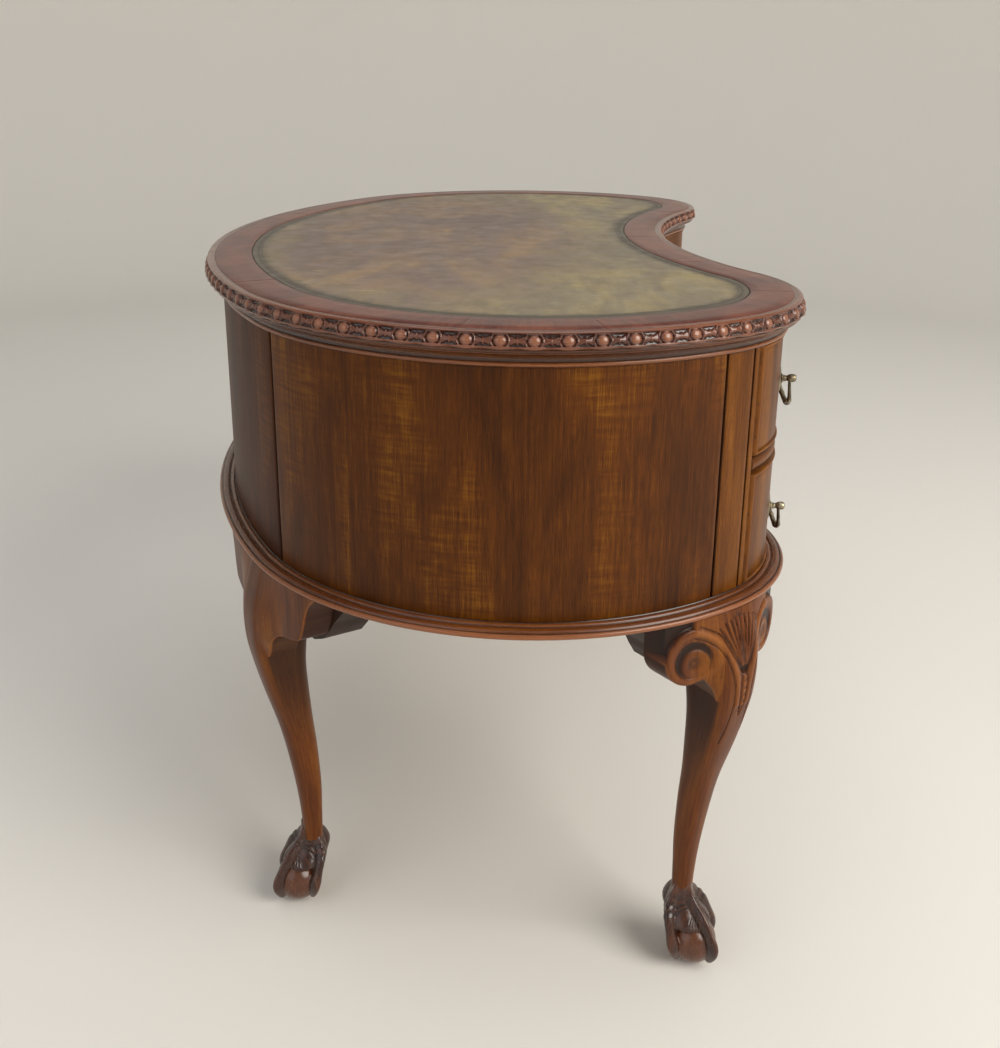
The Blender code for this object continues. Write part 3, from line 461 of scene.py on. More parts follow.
def makeLeatherMaterial():
    # worn hide: olive dye rubbed to purplish brown in the middle, scuffed and waxed
    material, tree, shader = newMaterial("hide_leather_antiqued")
    math, span, mix, noise = shortForms(tree)
    where = addNode(tree, "TexCoord").outputs["Object"]
    rim = addNode(tree, "Attribute", attribute_name="grain").outputs["Vector"]
    distance = addNode(tree, "SeparateXYZ", {0: rim}).outputs[0]

    def mottle(size, detail=3.0, stretch=(1, 1, 1), distortion=0.0, rough=0.55, turn=0.0):
        # uneven patches over the hide; the size of one in millimetres
        scale = [part / (size * mm) for part in stretch]
        return noise(where, scale, detail, rough, distortion, turn)

    dye = addNode(tree, "ValToRGB", {"Fac": mottle(95, 8.0, (0.45, 1.2, 1), 0.5, 0.65)}, stops=[
        (0.38, "#746957"), (0.50, "#82765c"), (0.60, "#93835c")]).outputs[0]
    worn = addNode(tree, "ValToRGB", {"Fac": mottle(120, 8.0, (0.5, 0.9, 1), 0.9, 0.68)}, stops=[
        (0.38, "#6a5951"), (0.49, "#766257"), (0.60, "#8b7054")]).outputs[0]
    # the middle of the sheet is rubbed more than its rim
    far = addNode(tree, "VectorMath", {0: where, 1: (0.0, 0.08, leatherTop)}, operation="SUBTRACT")
    far = addNode(tree, "VectorMath", {0: far.outputs[0], 1: (0.55, 1.35, 0.0)},
                  operation="MULTIPLY")
    far = addNode(tree, "VectorMath", {0: far.outputs[0]}, operation="LENGTH").outputs["Value"]
    ragged = math("MULTIPLY_ADD", mottle(60, 8.0, rough=0.7), 0.30, far)
    colour = mix(span(ragged, 0.50, 0.36), dye, worn)
    # long fine pale scuffs and a few small dark spots
    scuff = span(mottle(4.2, 2.0, (1.0, 0.07, 1), 0.8, turn=0.5), 0.62, 0.72, 0.75)
    scuff = math("MULTIPLY", scuff, span(mottle(42, 2.0), 0.48, 0.62))
    colour = mix(scuff, colour, srgb("#b3a587"))
    spot = addNode(tree, "TexVoronoi", {"Vector": where, "Scale": 26.0, "Randomness": 1.0})
    spot = math("MULTIPLY", span(spot.outputs["Distance"], 0.055, 0.035, 0.7),
                span(mottle(60, 1.0), 0.56, 0.62))
    colour = mix(spot, colour, srgb("#3d3026"))
    # dull brown stains
    stain = span(mottle(22, 6.0, (0.5, 1.0, 1), rough=0.7), 0.46, 0.60, 0.35)
    colour = mix(stain, colour, srgb("#5f5346"))
    # border: dark grey-brown band, darker tooled lines, black seam at the very edge
    ragged = math("MULTIPLY_ADD", mottle(16, 5.0), 0.022, distance)
    colour = mix(span(ragged, 0.034, 0.022, 0.85), colour, srgb("#4c463b"))
    for at, depth, tone in zip(leather["toolLines"], (0.85, 0.8, 0.7),
                               ("#2e2620", "#332a23", "#3a3026")):
        away = math("ABSOLUTE", math("SUBTRACT", distance, at * mm))
        colour = mix(span(away, 0.8 * mm, 0.3 * mm, depth), colour, srgb(tone))
    colour = mix(span(distance, 1.6 * mm, 0.8 * mm, 0.95), colour, srgb("#17110d"))
    grainCells = addNode(tree, "TexVoronoi", {"Vector": where, "Scale": 1 / (1.5 * mm)})
    lumps = math("ADD", grainCells.outputs["Distance"], mottle(9, 4.0))
    bump = addNode(tree, "Bump", {"Height": lumps, "Strength": 0.35, "Distance": 0.10 * mm})
    setInputs(tree, shader, {
        "Base Color": colour, "Roughness": span(mottle(30, 4.0), 0.3, 0.7, 0.52, 0.36),
        "Normal": bump.outputs[0], "Specular IOR Level": 0.35})
    return material


buildPiece("writing_leather", [makeLeather(leather)], makeLeatherMaterial(), node="leather_inset",
           sharp=60)
print("leather laid")

# Crossband: veneer laid with its grain across the band, in lengths that meet at fine joints
crossband = {"outer": 0.0455, "flats": (0.012, 0.030), "jointWidth": 0.2 * mm,
             "jointDepth": 0.12 * mm, "step": 4 * mm, "arris": 0.35 * mm,
             "joints": (0.21, 0.63, 0.98, 1.31, 1.62, 1.83, 2.036, 2.328, 2.457, 2.79)}


def makeCrossband(s):
    edge = deskTop - s["arris"]
    profile = np.array([(gap, bandLow), (gap, edge), (gap + s["arris"], deskTop)]
                       + [(reach, deskTop) for reach in s["flats"]]
                       + [(s["outer"] - s["arris"], deskTop), (s["outer"], edge),
                          (s["outer"], bandLow)])
    parts, top = [], profile[:, 1] > bandLow + gap
    ends = s["joints"][1:] + (s["joints"][0] + 2 * halfRound,)
    for index, (start, end) in enumerate(zip(s["joints"], ends)):
        inner = np.linspace(start + s["jointWidth"], end - s["jointWidth"],
                            int((end - start) / s["step"]))
        marks = np.concatenate([[start + 0.03 * mm], inner, [end - 0.03 * mm]])
        part = sweepPart(marks, profile, False, seed=index * 1.7, acrossGrain=True)
        points = part["points"].reshape(len(marks), len(profile), 3)
        for row in (0, -1):
            points[row, top, 2] -= s["jointDepth"]
        parts.append(part)
    return parts


buildPiece("crossband_veneer", makeCrossband(crossband), crossbandMahogany, node="crossband")

# Carved edge: beads in a hollow, each between two crescents, with a reel between each two
carving = {"motifs": 107, "columns": 42, "rows": 28, "firstBead": 2.421, "bead": 6.5,
           "beadRise": 3.8, "crescent": 8.3, "crescentWide": 1.15, "crescentRise": 2.5,
           "reelHalf": 7.0, "reelRise": 2.5, "reelWaist": 2.4, "reelEnd": 5.9, "barHalf": 4.2,
           "barWide": 1.1, "barRise": 2.75, "faceHalf": 6.7, "hollow": 1.2, "wave": 1.3,
           "line": 0.057, "limit": 0.0599, "foot": (57.4, 2.2), "head": (53.3, 3.0)}
# the round lip under the face: reach and height over the board's underside, in millimetres
lipRows = [(45.8, 0), (56.0, 0), (58.3, 0.3), (59.1, 1.1)]
# the thumb moulding over it: reach and depth under the top, in millimetres, and its wear with
# painted light: a painted highlight on the round, a painted dark line in the small groove
thumbRows = [(55.0, 1.8, 0.6), (54.3, 0.9, 0.66), (52.8, 0.3, 0.7), (51.0, 0.05, 0.66),
             (49.4, 0.2, 0.5), (48.6, 0.7, 0.1), (48.1, 0.35, 0.4), (47.0, 0.2, 0.5),
             (45.8, 0.5, 0.4)]


def carvedHeights(u, v, half, s):
    # height in millimetres over the hollow's floor; u along the edge from a bead, v up the face
    away = np.hypot(u, v * 1.02)
    bead = s["beadRise"] * np.sqrt(np.clip(1 - (away / s["bead"]) ** 2, 0, 1))
    lean = np.abs(u) / np.maximum(away, 0.01)
    crescent = s["crescentRise"] * np.exp(-((away - s["crescent"]) / s["crescentWide"]) ** 2) * lean
    w = (half - np.abs(u)) / s["reelHalf"]
    reach = s["reelWaist"] + (s["reelEnd"] - s["reelWaist"]) * np.clip(w, 0, 1) ** 1.7
    reel = (s["reelRise"] - 0.8 * np.clip(w, 0, 1)) * np.sqrt(np.clip(1 - (v / reach) ** 2, 0, 1))
    reel = reel * smoothStep(1.08, 0.86, w)
    # a narrow bar across the reel's waist
    bar = np.sqrt(np.clip(1 - (v / s["barHalf"]) ** 2, 0, 1))
    bar = bar * np.exp(-(w * s["reelHalf"] / s["barWide"]) ** 2)
    reel = np.maximum(reel, s["barRise"] * bar)
    return np.maximum(np.maximum(bead, crescent), reel)


def makeCarvedEdge(s):
    count = s["motifs"] * s["columns"]
    marks, run = evenStations(count, s["line"], s["firstBead"], s["columns"])
    pitch = run / s["motifs"] / mm
    u = ((np.arange(count) / s["columns"] + 0.5) % 1 - 0.5) * pitch
    v = np.linspace(-s["faceHalf"], s["faceHalf"], s["rows"])
    uu, vv = np.meshgrid(u, v, indexing="ij")
    height = carvedHeights(uu, vv, pitch / 2, s)
    overReel = 0.5 - 0.5 * np.cos(2 * pi * uu / pitch)
    # the lips above and below close on the beads and open into shallow arcs over the reels
    upper = smoothStep(5.1 + 0.9 * overReel, 6.3 + 0.5 * overReel, vv)
    lower = smoothStep(5.0 + 0.9 * overReel, 6.0 + 0.3 * overReel, -vv)
    height = height * (1 - upper) * (1 - lower) + 2.3 * upper + 2.6 * lower - s["hollow"]
    # darker in the hollows, lighter on the beads: wax and wear, with painted shade in the hollows
    relief = np.clip(height / 3.0 + 0.22, 0, 1)
    # the face leans back from its foot to its head
    foot = np.array([s["foot"][0] * mm, boardLow + s["foot"][1] * mm])
    head = np.array([s["head"][0] * mm, deskTop - s["head"][1] * mm])
    along = (v + s["faceHalf"]) / (2 * s["faceHalf"])
    base = foot + (head - foot) * along[:, None]
    lean = (head - foot) / np.linalg.norm(head - foot)
    out = np.array([lean[1], -lean[0]])
    reach = base[:, 0] + out[0] * height * mm
    rise = base[:, 1] + out[1] * height * mm
    lip = [(away * mm, boardLow + up * mm) for away, up in lipRows]
    thumb = [(away * mm, deskTop - down * mm) for away, down, wearAndPaintedLight in thumbRows]
    before = np.tile(np.array(lip), (count, 1, 1))
    # the lower edge swings in and up under each reel
    swing = (overReel[:, :1] * s["wave"] * mm) * np.array([0, 0.6, 1.0, 1.0])
    before[..., 0] -= swing
    before[..., 1] += 0.5 * swing * np.array([0, 0, 1, 1])
    after = np.broadcast_to(np.array(thumb), (count, len(thumb), 2))
    profile = np.concatenate([before, np.stack([reach, rise], axis=-1), after], axis=1)
    profile[..., 0] = np.minimum(profile[..., 0], s["limit"])
    # the round lip under the face is painted light as a highlight; the thumb takes its listed
    # values
    relief = np.concatenate([np.full((count, len(lip)), 0.7), relief,
                             np.tile([wearAndPaintedLight for away, down, wearAndPaintedLight in thumbRows], (count, 1))], axis=1)
    points = swept(marks, profile[..., 0], profile[..., 1])
    grain = grainAt(np.append(runAlong(profile[0]), 0.05),
                    np.append(marks, marks[0] + 2 * halfRound)[:, None])
    return gridPart(points, grain, relief, closedAlong=True)


buildPiece("carved_edge_beads", [makeCarvedEdge(carving)], carvedWalnut, node="carved_edge",
           sharp=75)

# Cove under the overhang: a hollow, a step and a small bead against the walls
cove = {"step": 4 * mm, "line": 0.04}
# its profile: reach in millimetres, share of the height, and wear with painted light: a painted
# highlight on the bead, painted shade in the quirk, the hollow and under the lip
coveRows = [(38.3, 0, 0.1), (40.5, 0, 0.2), (41.8, 0.05, 0.5), (42.4, 0.13, 0.9), (41.8, 0.21, 0.5),
            (40.7, 0.25, 0.0), (41.2, 0.34, 0.05), (42.4, 0.45, 0.15), (44.5, 0.57, 0.2),
            (47.5, 0.68, 0.2), (51.0, 0.75, 0.15), (53.6, 0.78, 0.5), (53.6, 0.84, 0.1),
            (55.0, 0.88, 0.3), (55.4, 0.94, 0.3), (55.0, 1, 0.1), (38.3, 1, 0.0)]
ringMarks = evenStations(int(2 * halfRound / cove["step"]), cove["line"])[0]
coveProfile = [(out * mm, topLow + share * (topHigh - topLow)) for out, share, wearAndPaintedLight in coveRows]
covePart = sweepPart(ringMarks, coveProfile, True, relief=[wearAndPaintedLight for out, share, wearAndPaintedLight in coveRows])
buildPiece("cove_moulding", [covePart], mouldingWalnut, node="under_moulding")
print("top made")

# Walls: veneered panels with a small bead and grooves along their edges
walls = {"inner": 0.018, "outer": 0.038, "openingX": lobeCentre[0] + 0.1172, "pilaster": 0.0515,
         "endPanel": 0.515, "step": 4 * mm}
openingStation = frontStation(walls["openingX"], walls["outer"])
grooveFront = openingStation - walls["pilaster"]
grooveBack = grooveFront - walls["endPanel"]


def panelPart(first, last, startProfile, endProfile, seed=0.0, plane=0.0):
    # an upright panel; each profile gives (distance from an end, depth under the face) in mm
    head = [(first + away * mm, depth * mm) for away, depth in startProfile]
    tail = [(last - away * mm, depth * mm) for away, depth in reversed(endProfile)]
    middle = np.arange(head[-1][0] + walls["step"], tail[0][0] - walls["step"] / 2, walls["step"])
    rows = head + [(mark, 0.0) for mark in middle] + tail
    marks = np.array([mark for mark, depth in rows])
    depth = np.array([depth for mark, depth in rows])
    inside = np.linspace(last, first, max(3, len(marks) // 3))
    heights = np.array([wallLow, wallLow + 1 * mm, wallHigh - 1 * mm, wallHigh])[:, None]
    loopMarks = np.concatenate([marks, inside])
    reach = np.concatenate([walls["outer"] - depth, np.full(len(inside), walls["inner"])])
    points, normals = onPlan(loopMarks)
    flat = points + normals * reach[:, None]
    # nothing stands past the plane that the drawers slide along
    flat[:, 0] = np.sign(flat[:, 0]) * np.maximum(np.abs(flat[:, 0]), plane)
    stack = lifted(np.broadcast_to(flat, (len(heights),) + flat.shape), heights)
    grain = grainAt(np.append(loopMarks, loopMarks[0]), heights, seed)
    # the grooves are darkened: old wax and painted shade
    sunk = np.concatenate([np.clip(0.5 - depth / (1.4 * mm), 0, 0.5), np.full(len(inside), 0.5)])
    return gridPart(stack, grain, np.broadcast_to(sunk, (len(heights), len(sunk))))


plainEnd = [(0.0, 3.0), (0.8, 2.8), (1.3, 0.7), (2.1, 0.0)]
# the pilaster's edge at the drawers: a flat bead between a groove and the opening
beadEnd = [(0.0, 2.6), (0.6, 2.2), (1.1, 0.6), (2.2, 0.0), (5.2, -0.2), (8.2, 0.0), (9.3, 0.5),
           (9.8, 2.6), (11.6, 2.8), (12.1, 0.8), (12.9, 0.0)]
backEnd = 2 * halfRound - (grooveBack - gap / 2)
buildPiece("back_veneer", [panelPart(backEnd - 2 * halfRound, grooveBack - gap / 2, plainEnd,
                                     plainEnd)], walnutBackShaded, node="back_panel")
for side in ("right", "left"):
    first, last = grooveBack + gap / 2, grooveFront - gap / 2
    stilePair = (grooveFront + gap / 2, openingStation)
    stileProfiles = (plainEnd, beadEnd)
    if side == "left":
        first, last = 2 * halfRound - last, 2 * halfRound - first
        stilePair = (2 * halfRound - stilePair[1], 2 * halfRound - stilePair[0])
        stileProfiles = stileProfiles[::-1]
    buildPiece("end_veneer_" + side, [panelPart(first, last, plainEnd, plainEnd, seed=3.1)], walnut,
               node="end_panel_" + side)
    face = panelPart(*stilePair, *stileProfiles, seed=5.3, plane=walls["openingX"])
    buildPiece("pilaster_face_" + side, [face], pilasterWalnut, node="pilaster_" + side)
print("walls made")

# Base moulding: two reeds over a round nosing
base = {"inner": 0.015, "kneehole": 0.2355, "step": 4 * mm, "foot": 0.0545, "nosing": 0.0590,
        "quirks": ((0.0552, 5.95), (0.0451, 7.2), (0.0389, 9.2)), "quirkWide": 0.8 * mm,
        "quirksFrom": 5 * mm}


def arcRun(centre, radius, first, last, steps):
    # points of a round part of a profile, angles in degrees
    turns = np.radians(np.linspace(first, last, steps))
    return [(centre[0] + radius[0] * cos(t), centre[1] + radius[1] * sin(t)) for t in turns]


def makeBaseMoulding(s):
    high, low = baseHigh, baseLow
    profile = [(s["inner"], low), (s["foot"], low)]
    profile += arcRun((0.0556, low + 3.25 * mm), (3.4 * mm, 3.1 * mm), -72, 74, 11)
    profile += [(0.0556, low + 6.0 * mm), (0.0547, low + 5.9 * mm)]
    profile += arcRun((0.0499, low + 6.5 * mm), (4.4 * mm, 2.3 * mm), 8, 152, 10)
    profile += [(0.0455, low + 7.2 * mm), (0.0448, low + 7.2 * mm)]
    profile += arcRun((0.0414, low + 7.85 * mm), (3.0 * mm, 1.85 * mm), 5, 130, 8)
    profile += [(0.0390, low + 9.0 * mm), (0.0384, high), (s["inner"], high)]
    profile = np.array(profile)
    ends = np.array([frontStation(s["kneehole"], reach) for reach in profile[:, 0]])
    full = np.arange(-ends.min() + 0.01, ends.min() - 0.01, s["step"])
    marks = np.concatenate([-ends[None, :], np.tile(full[:, None], (1, len(ends))), ends[None, :]])
    points, normals = onPlan(marks)
    flat = points + normals * profile[None, :, 0, None]
    points = lifted(flat, profile[:, 1])
    wide = np.concatenate([marks, marks[:, :1]], axis=1)
    grain = grainAt(np.append(runAlong(profile), 0.1), wide)
    # the nosing is rubbed bright, and the quirks beside the reeds are darkened with wax and painted
    # shade
    relief = np.interp(profile[:, 0], [s["foot"], s["nosing"]], [0.42, 1.0])
    for reach, up in s["quirks"]:
        away = np.hypot(profile[:, 0] - reach, profile[:, 1] - low - up * mm)
        quirk = (away < s["quirkWide"]) & (profile[:, 1] > low + s["quirksFrom"])
        relief = np.where(quirk, 0.03, relief)
    return gridPart(points, grain, np.broadcast_to(relief, marks.shape))


buildPiece("base_reeded", [makeBaseMoulding(base)], mouldingWalnut, node="base_moulding",
           sharp=42)

# Rails: rounded fronts between the drawers
railFace, railDeep = walls["outer"], 0.055


def makeRail(nodeName):
    low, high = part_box(nodeName)
    back = railFace - railDeep
    middle, half = (low.z + high.z) / 2, (high.z - low.z) / 2
    profile = [(back, low.z), (railFace - 3 * mm, low.z), (railFace - 1.2 * mm, low.z + 0.6 * mm)]
    profile += arcRun((railFace - 5.2 * mm, middle), (6.0 * mm, half - 2.2 * mm), -80, 80, 11)
    profile += [(railFace - 1.2 * mm, high.z - 0.6 * mm), (railFace - 3 * mm, high.z),
                (back, high.z)]
    profile = np.array(profile)
    xs = np.linspace(low.x, high.x, int((high.x - low.x) / (5 * mm)))
    stack = np.array([[(x, float(frontY(x, reach)), z) for reach, z in profile] for x in xs])
    grain = grainAt(np.append(runAlong(profile), 0.1), xs[:, None], 0.4)
    # darker where the round turns back to the flat faces: wax and painted shade; lighter on the
    # round, where it is rubbed
    relief = np.clip(0.5 + (profile[:, 0] - railFace) / (3 * mm), 0.2, 0.9)
    return gridPart(stack, grain, np.broadcast_to(relief, stack.shape[:2]))


for name in ("drawer_rail_right", "drawer_rail_left", "frieze_rail"):
    buildPiece(name + "_rounded", [makeRail(name)], walnutSolid, node=name)
print("mouldings made")

# Drawer fronts: flush veneered field inside a thin raised bead
drawer = {"inner": 0.018, "bead": 3.2, "beadRise": 2.0, "lip": 0.5, "groove": (3.1, 3.4, 0.35),
          "stepX": 5 * mm, "stepZ": 6 * mm}


def edgeRows(low, high, step):
    # places from one edge to the other, close together over the bead
    near = np.array([0, 0.4, 1.0, 1.6, 2.2, 2.8, 3.15, 3.35, 3.9]) * mm
    middle = np.linspace(low + near[-1], high - near[-1], max(2, int((high - low) / step)))[1:-1]
    return np.concatenate([low + near, middle, (high - near)[::-1]])


def makeDrawerFront(nodeName, seed):
    low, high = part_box(nodeName)
    s = drawer
    xs, zs = edgeRows(low.x, high.x, s["stepX"]), edgeRows(low.z, high.z, s["stepZ"])
    xx, zz = np.meshgrid(xs, zs, indexing="ij")
    away = np.minimum(np.minimum(xx - low.x, high.x - xx), np.minimum(zz - low.z, high.z - zz)) / mm
    half = s["bead"] / 2
    across = np.clip((away - half) / half, -1, 1)
    bead = s["beadRise"] * np.sqrt(np.clip(1 - across ** 2, 0, 1))
    rise = np.where(away < s["bead"], np.maximum(bead, np.where(away < half, s["lip"], 0)), 0.0)
    near, far, deep = s["groove"]
    groove = np.where((away > near) & (away < far), -deep, 0.0)
    reach = railFace + (rise + groove) * mm
    outer = np.stack([xx, frontY(xx, reach), zz], axis=-1)
    inner = np.stack([xx, frontY(xx, np.full(xx.shape, s["inner"])), zz], axis=-1)
    points = np.concatenate([outer, inner[:, ::-1]], axis=1)
    # the groove beside the bead is darkened with wax and painted shade, and the bead is rubbed
    # lighter
    relief = np.clip(0.5 + rise * 0.2 + groove, 0, 1)
    relief = np.concatenate([relief, np.full(relief.shape, 0.5)], axis=1)
    return gridPart(points, foldedBack(grainAt(xx, zz, seed)), relief)


drawerNames = ["drawer_upper_right", "drawer_upper_left", "drawer_lower_right", "drawer_lower_left",
               "drawer_centre"]
for index, name in enumerate(drawerNames):
    buildPiece(name + "_veneer", [makeDrawerFront(name + "_front", index * 2.3)], pilasterWalnut,
               body=name, node=name + "_front")
print("drawer fronts made")

# Legs: sections set out from the ankle to the knee, in a frame with +X outwards and +Y sideways
leg = {"top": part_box("leg_front_left")[1].z, "reach": 0.059, "ankleSetback": 0.053,
       "kneeDepth": 0.067, "kneeWidth": 0.060, "frontShare": 0.4, "rearSetback": 0.037,
       "rearTuck": 0.004, "shaftLow": 0.080, "ankleSquare": 2.4, "kneeSquare": 5.5,
       "kneeShare": 0.55, "girth": 0.03}
# shares of the height, of the ankle's setback, of the knee's depth and of its width
legRows = [(0.130, 0.92, 0.35, 0.39), (0.172, 0.98, 0.33, 0.37), (0.256, 0.97, 0.38, 0.40),
           (0.340, 0.93, 0.45, 0.47), (0.449, 0.82, 0.53, 0.56), (0.534, 0.70, 0.60, 0.63),
           (0.641, 0.52, 0.74, 0.78), (0.720, 0.41, 0.84, 0.88), (0.790, 0.37, 0.96, 0.95),
           (0.870, 0.40, 1.02, 1.00), (0.940, 0.50, 0.97, 1.00), (1.000, 0.60, 0.90, 1.00)]
frontMark = grooveFront + walls["pilaster"] * leg["frontShare"]
rearMark = grooveBack - leg["rearSetback"]
legPlaces = {"front_right": (frontMark, 1, 0.0), "front_left": (frontMark, -1, 0.0),
             "rear_right": (rearMark, 1, leg["rearTuck"]),
             "rear_left": (rearMark, -1, leg["rearTuck"])}


def legFrame(where):
    mark, side, tuck = legPlaces[where]
    point, normal = (part[0] for part in onPlan(np.array([mark * side])))
    foot = point + normal * (leg["reach"] - tuck)
    sideways = np.array([-normal[1], normal[0]])
    return foot, normal, sideways


def toDesk(points, where):
    # points of a leg's own frame set into the desk
    foot, normal, sideways = legFrame(where)
    flat = foot + points[..., :1] * normal + points[..., 1:2] * sideways
    return np.concatenate([flat, points[..., 2:]], axis=-1)


def lineDistance(y, z, line):
    # distance from places to a line of points
    near = np.full(y.shape, 1e9)
    for a, b in zip(line, line[1:]):
        step = b - a
        t = np.clip(((y - a[0]) * step[0] + (z - a[1]) * step[1]) / max(step @ step, 1e-12), 0, 1)
        near = np.minimum(near, np.hypot(y - a[0] - t * step[0], z - a[1] - t * step[1]))
    return near


# the scroll's ribbon, the hollow inside it and the ring round its eye, in millimetres
volute = {"y": 57.0, "z": 425.0, "radius": 31.5, "hollow": (57.5, 423.0, 22.0),
          "ring": (54.5, 417.0, 14.5), "depth": 2.3, "eye": (55.5, 418.0, 9.5), "proud": 5.0}
# lines cut and raised on the knee as (points, half width, height), in millimetres
kneeStrokes = [
    # the band that runs off the scroll and down the knee: a cut each side of a round rib
    ([(57, 447), (42, 440.5), (27, 427), (20, 410), (14.5, 392), (12, 372), (12.5, 340),
      (15.4, 312)], 1.0, -1.5),
    ([(50.7, 458.5), (38, 452), (26.5, 444), (19.3, 429), (10, 412), (2.3, 398)], 1.0, -1.6),
    ([(54, 452.5), (40, 446.5), (27, 436), (19.6, 420), (12.3, 402), (9, 385), (7.5, 362)],
     3.4, 1.3),
    # leaf: flutes that rise out of the point and open towards the moulding
    ([(0, 404), (0, 430), (0, 462)], 1.0, -1.4), ([(0.6, 403), (3.6, 430), (7, 460)], 1.0, -1.5),
    ([(1.2, 402), (7, 428), (13.5, 458)], 1.1, -1.5),
    ([(1.8, 401), (10.5, 426), (20.5, 456)], 1.1, -1.5),
    ([(2.2, 400), (13.5, 424), (28, 452)], 1.1, -1.4),
    ([(0.8, 408), (2.2, 432), (3.5, 458)], 1.2, 0.9),
    ([(1.6, 408), (6, 431), (10.3, 457)], 1.3, 0.9),
    ([(2.6, 408), (9.4, 429), (17, 455)], 1.4, 0.9),
    ([(3.6, 407), (12.6, 427), (24, 452)], 1.4, 0.9),
    # the drop's edge, closing on a point
    ([(2.2, 399), (4.8, 390), (4.5, 376), (3.3, 362), (0.4, 346)], 0.85, -1.4),
]
# husks down the drop, each a round berry, as (height, half width) in millimetres
huskRows = [(394, 2.6), (386, 3.3), (377.5, 3.1), (369, 2.7), (361, 2.2), (354, 1.6)]


def voluteRelief(y, z):
    # a crescent bowl between the ribbon and the ring, and a small bowl round the eye
    s = volute
    inside = s["hollow"][2] - np.hypot(y - s["hollow"][0], z - s["hollow"][1])
    outside = np.hypot(y - s["ring"][0], z - s["ring"][1]) - s["ring"][2]
    wide = np.maximum(inside + outside, 0.01)
    share = np.clip(inside / wide, 0, 1)
    bowl = s["depth"] * np.minimum(wide / 9, 1) * 4 * share * (1 - share)
    height = -np.where((inside > 0) & (outside > 0), bowl, 0)
    ribbon = s["radius"] - np.hypot(y - s["y"], z - s["z"])
    height += np.where(inside < 0, 0.7 * np.sin(pi * np.clip(ribbon / 9, 0, 1)), 0)
    eye = np.hypot(y - s["eye"][0], z - s["eye"][1]) / s["eye"][2]
    height -= np.where(eye < 1, 1.5 * (1 - eye ** 2), 0)
    height += 1.1 * np.exp(-(eye * s["eye"][2] / 2.6) ** 2)
    # behind the scroll's upper corner the ear lies lower
    behind = smoothStep(0.2, 1.6, -ribbon) * (y > s["y"]) * (z > s["z"] - 6)
    return height - s["proud"] * behind


def kneeRelief(y, z):
    # carving on a front knee and its ears, as a height in millimetres at (sideways, up)
    y, z = np.abs(y) / mm, z / mm
    height = voluteRelief(y, z)
    for points, width, rise in kneeStrokes:
        height += rise * np.exp(-(lineDistance(y, z, curveThrough(points, 5)) / width) ** 2)
    for middle, size in huskRows:
        berry = np.hypot(y, (z - middle) * 0.75) / size
        height += 1.5 * np.sqrt(np.clip(1 - berry ** 2, 0, 1))
    return height


def legSections(heights):
    # setback, half depth, half width and squareness of the leg at heights
    shares = heights / leg["top"]
    line = curveThrough(legRows, 12)
    setback, depth, width = (np.interp(shares, line[:, 0], line[:, column]) for column in (1, 2, 3))
    square = leg["ankleSquare"] + leg["kneeSquare"] * np.maximum(0, shares - leg["kneeShare"])
    return (setback * leg["ankleSetback"], depth * leg["kneeDepth"] / 2,
            width * leg["kneeWidth"] / 2, square)


def legFront(y, z):
    # how far out the leg's face stands; past its edge it runs on down a slope
    setback, depth, width, square = legSections(z)
    share = np.abs(y) / width
    inner = np.clip(share, 0, 0.94)
    face = depth * (1 - inner ** square) ** (1 / square)
    return face - setback - np.maximum(share - 0.94, 0) * depth * 0.8


def evenTurns(square, count):
    # angles whose points lie evenly round a squared circle
    fine = np.linspace(0, 2 * pi, 40001)
    ring = np.stack([np.sign(np.cos(fine)) * np.abs(np.cos(fine)) ** (2 / square),
                     np.sign(np.sin(fine)) * np.abs(np.sin(fine)) ** (2 / square)], axis=-1)
    run = runAlong(ring)
    return np.interp(np.arange(count) / count * run[-1], run, fine)


def makeShaft(where, carved):
    top, low = leg["top"], leg["shaftLow"]
    if carved:
        heights = np.concatenate([np.linspace(low, 0.300, 70)[:-1], np.linspace(0.300, top, 210)])
        turns = evenTurns(3.0, 240)[None, :]
    else:
        heights = np.linspace(low, top, 150)
        turns = evenTurns(3.0, 112)[None, :]
    setback, depth, width, square = (part[:, None] for part in legSections(heights))
    c, s = np.cos(turns), np.sin(turns)
    x = np.sign(c) * np.abs(c) ** (2 / square) * depth - setback
    y = np.sign(s) * np.abs(s) ** (2 / square) * width
    z = np.broadcast_to(heights[:, None], x.shape)
    # the flanks under the ears are painted darker, as shade
    flankShade = smoothStep(0.62, 0.40, c) * smoothStep(0.180, 0.360, z)
    relief = 0.5 - 0.40 * flankShade
    if carved:
        lift = kneeRelief(y, z) * smoothStep(-0.1, 0.25, c)
        x = x + lift * mm
        # the carving's hollows go dark and its raised parts light: wax and wear, with painted shade
        # in the hollows
        relief = np.clip(relief + lift * 0.30, 0, 1)
    points = toDesk(np.stack([x, y, z], axis=-1), where)
    grain = grainAt(turns * leg["girth"], z, legPlaces[where][1] * 0.7)
    grain = np.concatenate([grain, grain[:, :1] + [[(2 * pi * leg["girth"], 0, 0)]]], axis=1)
    return gridPart(points, grain, relief)


# Feet: a ball gripped by four toes that run up into the ankle
foot = {"ball": 0.0272, "size": 0.0285, "setback": 0.031, "lean": 0.0205, "voxel": 0.8 * mm,
        "flutes": 30, "fluteDepth": 0.55, "rearTurn": 17}
# a toe's line: shares of the size out and up, and its half thickness in millimetres
toeRows = [(0.14, 3.30, 6.0), (0.30, 2.84, 7.2), (0.62, 2.42, 7.4), (0.90, 2.02, 8.4),
           (1.05, 1.62, 7.0), (1.08, 1.22, 8.0), (1.02, 0.86, 6.6), (0.93, 0.56, 4.4),
           (0.84, 0.40, 2.6)]
